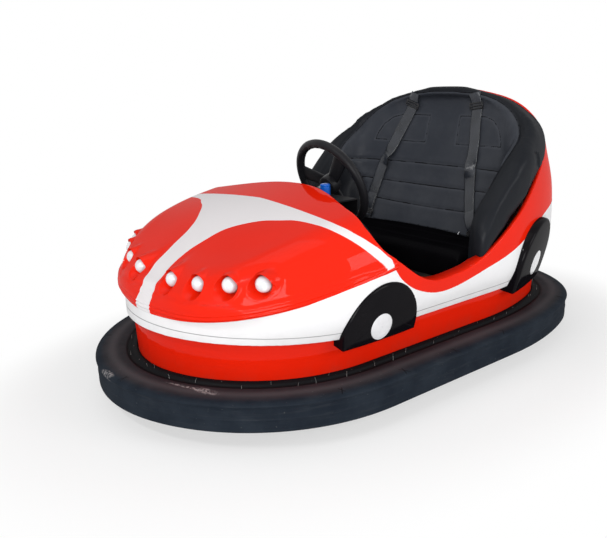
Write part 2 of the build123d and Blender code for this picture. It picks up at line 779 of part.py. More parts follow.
def belt_sections(side):
    sections = []
    for x, z in (BELT_TOP, BELT_SLIDER, *BELT_LINES[side], BELT_FOOT):
        y = min(seat_y(x - 22.0, z), seat_y(x + 22.0, z), seat_y(x, z)) - 2.5
        w = BELT_WIDE / 2
        t = BELT_THICK
        ring = [(-w, y, z), (w, y, z), (w, y - t, z), (-w, y - t, z)]
        ring = [(side * x + px, py, pz) for px, py, pz in ring]
        sections.append(Wire([Edge.make_line(a, b) for a, b in zip(ring, ring[1:] + ring[:1])]))
    return sections


def make_shoulder_belts():
    return Compound([Solid.make_loft(belt_sections(side), True) for side in (-1, 1)])


def make_belt_fittings(belts, seat):
    parts = []
    for side in (-1, 1):
        x, z = BELT_SLIDER
        y = seat_y(x, z) - 8.0
        parts.append(box(side * x - 28, side * x + 28, y - 4, y + 1, z - 12, z + 12))
        x, z = BELT_FOOT
        y = seat_y(x, z) - 2.0
        parts.append(box(side * x - 24, side * x + 24, y - 10, y + 2, CUSHION_TOP, CUSHION_TOP + 14))
    return Compound([part - belts - seat for part in parts])


def make_pedal():
    plate = Pos(130, -268, 186) * (Rot(-35, 0, 0) * Box(90, 8, 120))
    arm = box(122.0, 138.0, -290.0, -262.0, FLOOR_TOP + 4.0, 175.0)
    base = box(95.0, 165.0, -300.0, -250.0, FLOOR_TOP + 4.0, FLOOR_TOP + 8.0)
    return plate.fuse(arm, base)


def make_floor_mat():
    return box(-385.0, 385.0, -306.0, 118.0, FLOOR_TOP, FLOOR_TOP + 4.0)


def make_battery():
    return box(-205.0, 205.0, 150.0, 370.0, FLOOR_TOP, 270.0)


def main():
    os.makedirs("parts", exist_ok=True)
    outer, inner = body_solid(0.0), body_solid(SHELL)
    void = cockpit_void(COCKPIT_LINE)
    skirt_block = make_skirt_block()
    seat = make_seat_back(void)
    belts = make_shoulder_belts()
    nodes = {
        "bumper_tyre": make_bumper_tyre(),
        "bumper_rim": make_bumper_rim(),
        "chassis_frame": make_chassis_frame(),
        "floor_pan": make_floor_pan(),
        "rear_stub_axles": make_rear_stubs(),
        "steering_bridge": make_steering_bridge(),
        "column_tube": make_column_tube(),
        "lower_skirt": make_lower_skirt(skirt_block),
        "side_band": make_side_band(outer, inner),
        "tail_shell": make_tail_shell(outer, inner, void),
        "hood": make_hood(void),
        "headlamps": make_headlamps(),
        "wheel_pods": make_pods(outer, skirt_block),
        "pod_discs": make_pod_discs(),
        "cockpit_liner": make_cockpit_liner(void),
        "dash_panel": make_dash_panel(),
        "dash_switch": make_blue_switch(),
        "floor_mat": make_floor_mat(),
        "accelerator_pedal": make_pedal(),
        "seat_base": make_seat_base(),
        "seat_cushion": make_seat_cushion(),
        "seat_back": seat,
        "shoulder_belts": belts,
        "belt_fittings": make_belt_fittings(belts, seat),
        "battery": make_battery(),
        "steering_shaft": make_steering_shaft(),
        "steering_wheel_rim": make_wheel_rim(),
        "steering_wheel_hub": make_wheel_hub(),
        "drive_fork": make_drive_fork(),
        "king_gear": make_king_gear(),
        "drive_motor": make_drive_motor(),
        "drive_wheel_hub": make_drive_wheel_hub(),
        "drive_wheel_tyre": make_tyre(0.0, KING_Y, DRIVE_RADIUS, 88.0, DRIVE_WIDE),
        "rear_wheel_hub_left": make_rear_hub(1),
        "rear_wheel_tyre_left": make_tyre(REAR_X, REAR_Y, REAR_RADIUS, 66.0, REAR_WIDE),
        "rear_wheel_hub_right": make_rear_hub(-1),
        "rear_wheel_tyre_right": make_tyre(-REAR_X, REAR_Y, REAR_RADIUS, 66.0, REAR_WIDE),
    }
    for name, shape in nodes.items():
        export_step(shape, f"parts/{name}.step")
    return nodes


if __name__ == "__main__":
    main()
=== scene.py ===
"""Looks of a fairground bumper car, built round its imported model."""

from math import asin, cos, pi, radians, sin, tan

import bpy
import numpy as np
from mathutils import Matrix, Vector
from mathutils.bvhtree import BVHTree


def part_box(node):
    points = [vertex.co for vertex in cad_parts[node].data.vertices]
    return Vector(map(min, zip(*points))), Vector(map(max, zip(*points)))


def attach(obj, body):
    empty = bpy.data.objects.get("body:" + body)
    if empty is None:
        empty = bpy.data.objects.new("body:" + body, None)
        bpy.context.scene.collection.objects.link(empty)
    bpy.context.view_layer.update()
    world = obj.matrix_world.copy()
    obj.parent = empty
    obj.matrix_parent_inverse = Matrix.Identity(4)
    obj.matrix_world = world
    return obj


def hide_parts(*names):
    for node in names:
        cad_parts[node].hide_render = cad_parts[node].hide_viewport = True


bl_info = {
    "name": "Bumper Car Dressing",
    "version": (1, 0, 0),
    "blender": (4, 5, 0),
    "location": "View3D > Sidebar > Bumper Car",
    "description": "Builds the moulded body, rubber ring, seat and controls of a bumper car",
    "category": "Object",
}

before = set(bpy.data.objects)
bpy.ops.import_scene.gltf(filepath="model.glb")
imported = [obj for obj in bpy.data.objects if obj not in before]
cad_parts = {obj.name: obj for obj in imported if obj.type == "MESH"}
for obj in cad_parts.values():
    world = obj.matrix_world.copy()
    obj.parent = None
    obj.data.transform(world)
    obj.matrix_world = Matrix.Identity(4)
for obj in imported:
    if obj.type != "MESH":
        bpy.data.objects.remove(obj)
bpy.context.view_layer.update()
SCENE = bpy.context.scene
MM = 0.001
MIRROR = np.array((-1.0, 1.0, 1.0))

# driving sizes of the body, in millimetres
LENGTH = 1935.0
WIDTH = 1150.0
STRAIGHT = (-350.0, 226.0)
LIP_END = -277.0
HOOD_NOSE = -842.0
HOOD_HALF = 502.0
HOOD_REACH = 693.0
HOOD_SQUARE = 2.7
# where the hood's cross arcs meet on a section as wide as it is high, and its first section's angle
HOOD_ARCS = (radians(14), radians(72))
HOOD_START = 0.0619
# lip: height at the nose and rise per millimetre to the rear
LIP_NOSE = 336.0
LIP_SLOPE = 0.189
# ring in plan: radius of its side arc, and where its arcs meet, at the nose and at the tail
NOSE_SIDE, NOSE_ARCS = 700.0, (radians(10), radians(70))
TAIL_SIDE, TAIL_ARCS = 1200.0, (radians(20), radians(60))

# height, half width, nose Y, front and rear ends of the straight side, tail Y
BODY = np.array((
    (122.0, 444.0, -842.0, -350.0, 226.0, 835.0),
    (186.0, 452.0, -849.0, -350.0, 226.0, 844.0),
    (250.0, 463.0, -856.0, -350.0, 226.0, 856.0),
    (310.0, 487.0, -850.0, -350.0, 226.0, 884.0),
    (400.0, 499.0, -842.0, -350.0, 226.0, 899.0),
    (500.0, 498.0, -830.0, -340.0, 226.0, 898.0),
    (600.0, 487.0, -720.0, -240.0, 240.0, 881.0),
    (700.0, 464.0, -580.0, -100.0, 260.0, 842.0),
    (780.0, 443.0, -440.0, 20.0, 290.0, 782.0),
    (840.0, 398.0, -290.0, 120.0, 320.0, 722.0),
    (890.0, 320.0, -110.0, 210.0, 350.0, 664.0),
    (920.0, 222.0, 50.0, 280.0, 380.0, 612.0),
    (938.0, 108.0, 240.0, 360.0, 420.0, 585.0),
))

# station Y, crown height
HOOD = np.array((
    (-841.0, 410.0), (-832.0, 414.0), (-810.0, 422.0), (-770.0, 446.0),
    (-700.0, 488.0), (-600.0, 544.0), (-500.0, 583.0), (-420.0, 603.0),
    (-360.0, 614.0), (-300.0, 625.0), (-230.0, 638.0),
))

# side-view lines as Y, Z
WHITE_LINE = (
    (-283, 442), (-273, 427.5), (-263, 414.5), (-243, 395.5), (-212, 373), (-160, 349), (-110, 334),
    (-29, 329), (113, 354), (333, 410), (482, 470), (661, 510), (950, 520),
)
COCKPIT_LINE = (
    (-352, 610), (-322, 505), (-264, 460), (-178, 401), (-100, 371), (-15, 371), (88, 388), (159, 417),
    (211, 445), (267, 479), (321, 513), (382, 556), (446, 604), (519, 652), (566, 694), (590, 750),
    (598, 850), (600, 960),
)
# rear edge of the cowl in plan: distance from the middle, Y
COWL_EDGE = ((0.0, -238.0), (118.0, -250.0), (290.0, -309.0), (400.0, -340.0), (470.0, -352.0))

# white stripe down the hood: Y, half width, and the rear side of its arms: distance out, Y
STRIPE = (
    (-850, 40), (-805, 38.5), (-770, 42), (-733, 43.5), (-692, 50), (-648, 62), (-600, 84), (-552, 130),
    (-510, 184), (-488, 228), (-471, 258), (-460, 292), (-454, 321), (-449, 352), (-443, 379), (-435, 402),
    (-424, 422), (-398, 453), (-370, 475.5), (-345, 489), (-314, 498.5), (-290, 506),
)
STRIPE_REAR = (
    (0, -398), (118, -406), (236, -411), (344, -413), (388, -409), (419, -395), (437.6, -383.4),
    (452.8, -368.8), (466.8, -352.9), (478.6, -334.9), (487.4, -319.6), (492.9, -306.9), (498.5, -291),
    (506, -284),
)
# Y, sideways place of the stripe's middle
STRIPE_MIDDLE = (
    (-850, 25), (-838, 17), (-820, 13), (-800, 6), (-765, -5), (-690, -8), (-640, 0),
)
# crease round the hood: Y, height above the lip
CREASE = (
    (-850, 50), (-790, 50), (-750, 42), (-710, 34), (-500, 30), (-400, 25), (-330, 16), (-277, 8),
)

# distance from the middle, Y, Z, angle outward
HEADLAMPS = (
    (100.0, -783.0, 430.0, 4.0),
    (208.0, -760.0, 435.0, 8.0),
    (300.0, -719.0, 443.0, 12.0),
    (377.0, -662.0, 450.0, 16.0),
)
LAMP_RADIUS = 24.0
POCKET_RADIUS = 29.0
BROW_RADIUS = 34.0
POCKET_BACK = 5.0
# the swell behind the lamps runs from the middle of the nose to here, in plan
BROW_START = (0.0, -792.0)
BROW_END = (450.0, -585.0)
BROW_SWELL = 15.0
BROW_PATCH = 50.0
# step outward below the crease, its dip at each lamp, and the nose's push outward
CREASE_STEP = 6.5
SCALLOP = 5.0
NOSE_PUSH = 11.0
# size, height above the lip and half width of the lip's two beads
LIP_BEADS = ((3.6, 6.0, 4.0), (2.2, 16.0, 2.6))

# face centre X, Y, Z, radius, depth of the flat foot, turn to the rear, lean, dome radius
PODS = (
    (485.0, -315.0, 259.5, 149.0, 35.0, 0.0, 10.8, 2400.0),
    (462.0, 488.0, 317.5, 159.0, 93.0, 18.0, 12.2, 2000.0),
)
# distance along the pod's face from its centre, rise, radius
POD_DISCS = ((-12.3, 15.9, 41.6), (-0.8, -6.0, 46.0))

# distance in from the outermost line, height
RING_SECTION = (
    (136, 142), (136, 156), (118, 152), (112, 143), (101, 143), (96, 149), (60, 151.4), (26, 150), (9, 147),
    (0.4, 141), (0.4, 136), (5, 130), (4.6, 101), (3.6, 98.5), (3.6, 95.5), (4.6, 93), (4, 61), (7, 60),
    (136, 60.2), (136, 72),
)

# steering wheel
WHEEL_CENTRE = np.array((0.0, -90.0, 620.0))
WHEEL_RING = 154.0
WHEEL_TUBE = 16.0
WHEEL_TILT = radians(23.0)
SPOKE_ANGLES = (47.0, 167.0, 287.0)

# Y, rise of the seat back's padded side above the plain pad
WING_LIFT = (
    (100, 56), (130, 74), (188, 97), (249, 112), (308, 132), (338, 132), (369, 124), (399, 100), (429, 58),
    (460, 22), (500, 0),
)
# front-view lines sewn into the back: distance from the middle, height
PANEL_EDGE = (
    (0, 916), (100, 914), (190, 904), (278, 877), (345, 838), (390, 790), (414, 720), (405, 652),
    (354, 566), (309, 488), (284, 434), (268, 390),
)
# cross seams: height in the middle and at the side, reach from the middle
SEAM_HEIGHTS = ((634.0, 640.0, 400.0), (550.0, 563.0, 350.0), (469.0, 486.0, 310.0))
PATCH_LINE = (
    (76, 823), (130, 824), (205, 824), (250, 814), (288, 786), (308, 752), (318, 722), (200, 719),
    (78, 717), (76, 823),
)
# distance from the middle, height, of each shoulder belt's centre line
BELTS = {
    -1: (
        (146, 911), (160, 870), (178, 822), (206, 748), (228, 689), (250, 630), (274, 528), (284, 445),
        (286, 408),
    ),
    1: (
        (150, 911), (159, 870), (164, 822), (178, 748), (186, 689), (196, 610), (214, 520), (248, 445),
        (282, 408),
    ),
}
BELT_WIDE = 48.0
# place of the twist as a share of the belt's length, and its turn
TWIST_AT = 0.52
TWIST = radians(34)
# folded strips on a belt: start and end as shares of its length, rise
BELT_FOLDS = ((0.50, 0.60, 3.0), (0.83, 0.95, 4.0))
# sliders on a belt: row of its mesh and half height
BELT_SLIDERS = ((11, 10.0), (115, 7.0))
# where the small hook hangs, left of the middle and above the floor
HOOK_AT = (200.0, 396.0)


# numbers and curves
def spline(knots, values):
    """Natural cubic spline through values at increasing knots, as a function."""
    t = np.asarray(knots, float)
    v = np.asarray(values, float)
    flat = v.ndim == 1
    v = v.reshape(len(t), -1)
    h = np.diff(t)
    n = len(t)
    a = np.eye(n)
    b = np.zeros_like(v)
    for i in range(1, n - 1):
        a[i, i - 1:i + 2] = h[i - 1], 2 * (h[i - 1] + h[i]), h[i]
        b[i] = 6 * ((v[i + 1] - v[i]) / h[i] - (v[i] - v[i - 1]) / h[i - 1])
    m = np.linalg.solve(a, b)

    def at(x):
        x = np.clip(np.asarray(x, float), t[0], t[-1])
        i = np.clip(np.searchsorted(t, x) - 1, 0, n - 2)
        left, right = (x - t[i])[..., None], (t[i + 1] - x)[..., None]
        s = h[i][..., None]
        out = (m[i] * right ** 3 + m[i + 1] * left ** 3) / (6 * s)
        out = out + (v[i] / s - m[i] * s / 6) * right + (v[i + 1] / s - m[i + 1] * s / 6) * left
        return out[..., 0] if flat else out

    return at


def curve_through(points, count=400):
    """Dense points of a smooth curve through a few."""
    p = np.array(points, float)
    steps = np.r_[0, np.cumsum(np.linalg.norm(np.diff(p, axis=0), axis=1))]
    return spline(steps, p)(np.linspace(0, steps[-1], count))


def line_height(points):
    """Height of a smooth side-view line as a function of Y."""
    dense = curve_through(points)
    return lambda y: np.interp(y, dense[:, 0], dense[:, 1])


def table(rows):
    """Straight-line lookup of a two-column table."""
    rows = np.array(rows, float)
    return lambda x: np.interp(x, rows[:, 0], rows[:, 1])


def resample(path, count):
    """The same path with evenly spaced points."""
    steps = np.r_[0, np.cumsum(np.linalg.norm(np.diff(path, axis=0), axis=1))]
    even = np.linspace(0, steps[-1], count)
    return np.stack([np.interp(even, steps, path[:, k]) for k in range(path.shape[1])], axis=1)


def unit(v):
    return v / np.maximum(np.linalg.norm(v, axis=-1, keepdims=True), 1e-9)


def quarter_point(half, depth, side, first, second, f):
    """Point at a share f of the length of three tangent arcs from (half, 0) to (0, depth)."""
    ux, uy = np.cos(first) - 1, np.sin(first)
    vx, vy = np.cos(second) - np.cos(first), np.sin(second) - np.sin(first)
    wx, wy = -np.cos(second), 1 - np.sin(second)
    px, py = -half - side * ux, depth - side * uy
    det = vx * wy - wx * vy
    corner = (px * wy - wx * py) / det
    end = (vx * py - px * vy) / det
    l1, l2, l3 = side * first, corner * (second - first), end * (pi / 2 - second)
    run = f * (l1 + l2 + l3)
    a = np.minimum(run, l1) / side
    b = first + np.clip(run - l1, 0, l2) / corner
    c = second + np.clip(run - l1 - l2, 0, None) / end
    x = half + side * (np.cos(a) - 1) + corner * (np.cos(b) - np.cos(first))
    x = x + end * (np.cos(c) - np.cos(second))
    y = side * np.sin(a) + corner * (np.sin(b) - np.sin(first)) + end * (np.sin(c) - np.sin(second))
    return x, y


BODY_ROWS = spline(BODY[:, 0], BODY[:, 1:])
CROWN = spline(HOOD[:, 0], HOOD[:, 1])
white_height = line_height(WHITE_LINE)
crease_rise = table(CREASE)
stripe_middle = table(STRIPE_MIDDLE)
cockpit_height = line_height(COCKPIT_LINE)
wing_lift = table(WING_LIFT)
COWL = curve_through([(-x, y) for x, y in COWL_EDGE[:0:-1]] + list(COWL_EDGE))


def lip_height(y):
    return LIP_NOSE + LIP_SLOPE * (y - HOOD_NOSE)


def white_top(y):
    """Upper edge of the white side."""
    return np.where(y < WHITE_LINE[0][0], lip_height(y), white_height(y))


def band_foot(y):
    """Lower edge of the white side."""
    return np.interp(y, (-950.0, -700.0, -350.0), (283.0, 273.0, 257.0))


def body_point(z, s):
    """Body surface at a height; s runs 0 to 1 round the nose, to 2 along the side, to 3 round the tail."""
    z, s = np.broadcast_arrays(np.asarray(z, float), np.asarray(s, float))
    half, nose, front, rear, tail = np.moveaxis(BODY_ROWS(z), -1, 0)
    f_nose, f_tail = np.clip(1 - s, 0, 1), np.clip(s - 2, 0, 1)
    deep = front - nose
    nx, ny = quarter_point(half, deep, NOSE_SIDE * deep / (STRAIGHT[0] + LENGTH / 2), *NOSE_ARCS, f_nose)
    deep = tail - rear
    tx, ty = quarter_point(half, deep, TAIL_SIDE * deep / (LENGTH / 2 - STRAIGHT[1]), *TAIL_ARCS, f_tail)
    side = front + (rear - front) * np.clip(s - 1, 0, 1)
    x = np.where(s < 1, nx, np.where(s > 2, tx, half))
    y = np.where(s < 1, front - ny, np.where(s > 2, rear + ty, side))
    return np.stack([x, y, z], axis=-1)


def pod_frame(row):
    """Directions along, up and out of a left pod's face."""
    turn, lean = radians(row[5]), radians(row[6])
    out = np.array((cos(turn) * cos(lean), sin(turn) * cos(lean), -sin(lean)))
    along = np.array((-sin(turn), cos(turn), 0.0))
    return along, np.cross(out, along), out


def pod_sag(u, v, dome):
    """Height of a pod's domed face, 0 in its middle."""
    return np.sqrt(dome ** 2 - u ** 2 - v ** 2) - dome


def hood_point(theta, t):
    """Hood surface; theta runs back from the nose, t from -1 at the right lip to 1 at the left one."""
    theta, t = np.broadcast_arrays(np.asarray(theta, float), np.asarray(t, float))
    inner = np.clip(theta / HOOD_START, 0, 1)
    th = np.maximum(theta, HOOD_START)
    y = HOOD_NOSE + HOOD_REACH * (1 - np.cos(th) ** (2 / HOOD_SQUARE))
    half = HOOD_HALF * np.sin(th) ** (2 / HOOD_SQUARE)
    low = lip_height(y)
    rise = CROWN(y) - low
    ratio = half / rise
    first, second = (np.arctan(tan(angle) * ratio) for angle in HOOD_ARCS)
    x, z = quarter_point(half, rise, 2.6 * rise * rise / half, first, second, 1 - np.abs(t))
    x = x * np.sign(t + 1e-12) * inner
    share = z / rise
    near = np.exp(-(x / 240) ** 2 - (y - HOOD_NOSE) / 45)
    y = y - 0.9 * (1 - inner ** 2.7) + near * (4 + 20 * share ** 1.3)
    z = low + z - near * 6 * (1 - share)
    return np.stack([x, y, z], axis=-1)


# meshes
def put(name, data):
    """A new object in the scene."""
    thing = bpy.data.objects.new(name, data)
    SCENE.collection.objects.link(thing)
    return thing


def write_field(mesh, key, values):
    mesh.attributes.new(key, "FLOAT", "POINT").data.foreach_set("value", values)


def grid_faces(rows, cols, start=0, wrap_rows=False, wrap_cols=False, flip=False):
    """Quads between rows and columns of points."""
    i = np.arange(rows if wrap_rows else rows - 1)[:, None]
    j = np.arange(cols if wrap_cols else cols - 1)[None, :]
    i2, j2 = (i + 1) % rows, (j + 1) % cols
    quads = np.stack([i * cols + j, i * cols + j2, i2 * cols + j2, i2 * cols + j], axis=-1)
    quads = quads.reshape(-1, 4) + start
    if flip:
        quads = quads[:, ::-1]
    return quads.tolist()


class Patchwork:
    """Collects grids of points that become one mesh."""

    def __init__(self, *keys):
        self.points, self.faces, self.fields = [], [], {key: [] for key in keys}
        self.count = 0

    def grid(self, p, wrap_rows=False, wrap_cols=False, flip=False, **fields):
        """Adds rows of points in millimetres, with a value of each field for every point."""
        rows, cols = p.shape[:2]
        self.faces += grid_faces(rows, cols, self.count, wrap_rows, wrap_cols, flip)
        self.points.append(p.reshape(-1, 3))
        for key, store in self.fields.items():
            store.append(np.broadcast_to(fields[key], (rows, cols)).ravel())
        self.count += rows * cols

    def make(self, name, finish, slot, nodes=(), body="car"):
        """Smooth mesh object in metres with a finish, riding on a body and standing for nodes."""
        mesh = bpy.data.meshes.new(name)
        mesh.from_pydata((np.concatenate(self.points) * MM).tolist(), [], self.faces)
        for key, store in self.fields.items():
            write_field(mesh, key, np.concatenate(store))
        mesh.validate()
        mesh.shade_smooth()
        piece = put(name, mesh)
        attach(piece, body)
        for node in nodes:
            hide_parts(node)
        node_finish(piece, finish)


def mirrored(left, skip=0):
    """Columns from the nose to the tail and back up the other side."""
    return np.concatenate([left, left[:, -2:skip:-1] * MIRROR], axis=1)


def grid_normals(p):
    return unit(np.cross(np.gradient(p, axis=1), np.gradient(p, axis=0)))


def rolled_rows(edge, out, normal, radius, depth, turn=pi):
    """Rows that carry a sheet's edge round a bead and back behind its face."""
    rows = []
    for a in np.linspace(0, turn, 7)[1:]:
        rows.append(edge + radius * sin(a) * out + radius * (cos(a) - 1) * normal)
    onward = cos(turn) * out - sin(turn) * normal
    rows.append(rows[-1] + onward * np.reshape(depth, (-1, 1)))
    return rows


def evened(v, width):
    """Running mean along a row, its ends held."""
    return np.convolve(np.pad(v, width // 2, mode="edge"), np.ones(width) / width, mode="valid")


def smooth_rows(v):
    """Unit vectors along an edge, evened out over their neighbours."""
    return unit(np.stack([evened(v[:, k], 9) for k in range(3)], axis=1))


def surface_tree(piece):
    mesh = piece.data
    points = [v.co.copy() for v in mesh.vertices]
    return BVHTree.FromPolygons(points, [tuple(p.vertices) for p in mesh.polygons])


def lathe(profile, centre, axis, across, count=64):
    """Turned surface: profile as radius, height along the axis."""
    profile = np.array(profile, float)
    axis, across = unit(np.array(axis, float)), unit(np.array(across, float))
    other = np.cross(axis, across)
    a = np.linspace(0, 2 * pi, count, endpoint=False)
    ring = np.cos(a)[:, None] * across + np.sin(a)[:, None] * other
    return centre + profile[:, None, :1] * ring[None] + profile[:, None, 1:] * axis


def round_profile(points, passes=2):
    """Open outline with its corners cut, end points kept."""
    p = np.array(points, float)
    for _ in range(passes):
        a, b = p[:-1], p[1:]
        mid = np.stack([a * 0.75 + b * 0.25, a * 0.25 + b * 0.75], axis=1).reshape(-1, p.shape[1])
        p = np.vstack([p[:1], mid, p[-1:]])
    return p


# materials
class Value:
    """A socket of a node tree; arithmetic on it adds Math nodes."""

    def __init__(self, nodes, socket):
        self.nodes, self.socket = nodes, socket

    def __add__(self, other):
        return self.nodes.maths("ADD", self, other)

    def __sub__(self, other):
        return self.nodes.maths("SUBTRACT", self, other)

    def __mul__(self, other):
        return self.nodes.maths("MULTIPLY", self, other)

    def __mod__(self, other):
        return self.nodes.maths("FLOORED_MODULO", self, other)

    def __abs__(self):
        return self.nodes.maths("ABSOLUTE", self)


class Nodes:
    """A shader node tree with short ways to add nodes."""

    def __init__(self, tree):
        self.tree = tree

    def feed(self, socket, value):
        if isinstance(value, Value):
            self.tree.links.new(value.socket, socket)
        elif socket.type == "RGBA" and len(value) == 3:
            socket.default_value = (*value, 1.0)
        else:
            socket.default_value = value

    def node(self, kind, settings=None, out=0, **inputs):
        """Output of a new node; settings are set before its sockets, given by name or number."""
        node = self.tree.nodes.new("ShaderNode" + kind)
        for key, value in (settings or {}).items():
            setattr(node, key, value)
        for key, value in inputs.items():
            index = int(key[1:]) if key[0] == "i" and key[1:].isdigit() else key.replace("_", " ")
            self.feed(node.inputs[index], value)
        return Value(self, node.outputs[out])

    def maths(self, operation, a, b=None):
        inputs = {"i0": a} if b is None else {"i0": a, "i1": b}
        return self.node("Math", {"operation": operation}, **inputs)

    def field(self, name):
        return self.node("Attribute", {"attribute_name": name}, out=2)

    def place(self):
        return self.node("TexCoord", out=3)

    def outputs(self, kind, **inputs):
        """All outputs of a new node by name."""
        node = self.node(kind, **inputs).socket.node
        return {socket.name: Value(self, socket) for socket in node.outputs}

    def axes(self):
        """X, Y and Z of the place on the piece."""
        return list(self.outputs("SeparateXYZ", Vector=self.place()).values())

    def seen(self):
        """1 for rays from the camera, in reflections and through glass."""
        rays = self.outputs("LightPath")
        most = self.maths("MAXIMUM", rays["Is Camera Ray"], rays["Is Glossy Ray"])
        return self.maths("MAXIMUM", most, rays["Is Transmission Ray"])

    def noise(self, scale, detail=3.0, rough=0.5, stretch=None):
        where = self.place()
        if stretch:
            where = self.node("VectorMath", {"operation": "MULTIPLY"}, i0=where, i1=stretch)
        return self.node("TexNoise", Vector=where, Scale=scale, Detail=detail, Roughness=rough)

    def ramp(self, value, low, high, start=0.0, end=1.0):
        """value taken smoothly from low..high to start..end."""
        ends = {"From_Min": low, "From_Max": high, "To_Min": start, "To_Max": end}
        return self.node("MapRange", {"interpolation_type": "SMOOTHSTEP"}, Value=value, **ends)

    def mix(self, factor, a, b):
        return self.node("Mix", {"data_type": "RGBA"}, out=2, i0=factor, i6=a, i7=b)


class Finish(Nodes):
    """A procedural material with its Principled shader."""

    def __init__(self, name, **values):
        self.material = bpy.data.materials.new(name)
        self.material.use_nodes = True
        super().__init__(self.material.node_tree)
        self.shader = self.tree.nodes["Principled BSDF"]
        self.set(**values)

    def set(self, **values):
        for key, value in values.items():
            self.feed(self.shader.inputs[key.replace("_", " ").title().replace("Ior", "IOR")], value)

    def bump(self, height, distance, strength):
        self.set(normal=self.node("Bump", Height=height, Distance=distance, Strength=strength))

    def scratches(self, scale=9.0, keep=0.2):
        """Thin crossing lines in patches."""
        a = self.noise(scale, 2.0, 0.6, stretch=(1.0, 7.0, 22.0))
        b = self.noise(scale, 2.0, 0.6, stretch=(20.0, 3.0, 6.0))
        lines = self.ramp(abs(a - 0.5), 0.0, 0.006, 1.0, 0.0) + self.ramp(abs(b - 0.52), 0.0, 0.005, 1.0, 0.0)
        patches = self.ramp(self.noise(3.1, 2.0), 0.56, 0.66)
        return lines * patches * keep


def deep(colour, by):
    """The colour darkened or lightened by a factor."""
    return tuple(c * by for c in colour)


def gelcoat(name, colour):
    """Glossy moulded skin with faint fading, specks of dirt and hairline marks."""
    f = Finish(name, coat_weight=0.22, coat_roughness=0.03, specular_ior_level=0.0)
    broad = f.ramp(f.noise(2.3, 3.0), 0.3, 0.75)
    fine = f.ramp(f.noise(60.0, 4.0, 0.7), 0.35, 0.75)
    marks = f.scratches()
    tint = f.mix(broad * 0.5, colour, deep(colour, 0.86))
    tint = f.mix(fine * 0.05, tint, deep(colour, 0.7))
    f.set(base_color=tint, roughness=broad * 0.06 + fine * 0.05 + marks * 0.2 + 0.10)
    f.peel = f.noise(190.0, 2.0) * 0.4 + marks * -0.5
    f.tint = tint
    f.bump(f.peel, 0.00035, 0.25)
    return f


STRIPE_FRESH = (0.80, 0.77, 0.78)
STRIPE_FADED = (0.75, 0.71, 0.72)


def hood_paint(red):
    """Red skin with a white stripe whose edge follows the stripe field."""
    f = gelcoat("hood gelcoat", red)
    field = f.field("stripe") + (f.noise(140.0, 2.0) - 0.5) * 0.0008
    mask = f.ramp(field, -0.0007, 0.0007)
    stripe = f.mix(f.ramp(f.noise(3.0, 3.0), 0.3, 0.8) * 0.4, STRIPE_FRESH, STRIPE_FADED)
    f.set(base_color=f.mix(mask, f.tint, stripe))
    edge = f.ramp(abs(field), 0.0, 0.0015, 1.0, 0.0)
    f.bump(f.peel + edge * 0.5, 0.00035, 0.25)
    return f


def band_paint(white):
    """White skin with a fine groove above its lower edge, its line darkened with painted shade."""
    f = gelcoat("side gelcoat", white)
    rise = f.field("rise")
    groove = f.ramp(abs(rise - 0.021), 0.0006, 0.0018, 1.0, 0.0)
    dust = f.ramp(rise, 0.0, 0.05, 0.12, 0.0) * f.ramp(f.noise(18.0, 4.0), 0.4, 0.7)
    tint = f.mix(dust, f.tint, (0.42, 0.38, 0.34))
    # painted shade: the white is mixed toward dark grey along the groove
    f.set(base_color=f.mix(groove * 0.75, tint, (0.16, 0.16, 0.17)))
    f.bump(f.peel - groove * 2.0, 0.0006, 0.5)
    return f


def skirt_paint(red):
    """Red skin, dusty toward the bumper ring."""
    f = gelcoat("skirt gelcoat", deep(red, 0.96))
    height = f.axes()[2]
    dust = f.ramp(height, 0.15, 0.215, 1.0, 0.0) * f.ramp(f.noise(9.0, 5.0, 0.65), 0.35, 0.8)
    f.set(base_color=f.mix(dust * 0.35, f.tint, (0.30, 0.05, 0.03)))
    return f


# X, Y, half length and half width in metres, direction in degrees
SCUFFS = (
    (-0.030, -0.960, 0.036, 0.010, 4.0),
    (0.228, -0.832, 0.070, 0.006, 23.0),
    (0.284, -0.808, 0.040, 0.015, 20.0),
    (0.333, -0.860, 0.023, 0.003, 45.0),
    (0.475, -0.730, 0.012, 0.003, 60.0),
)


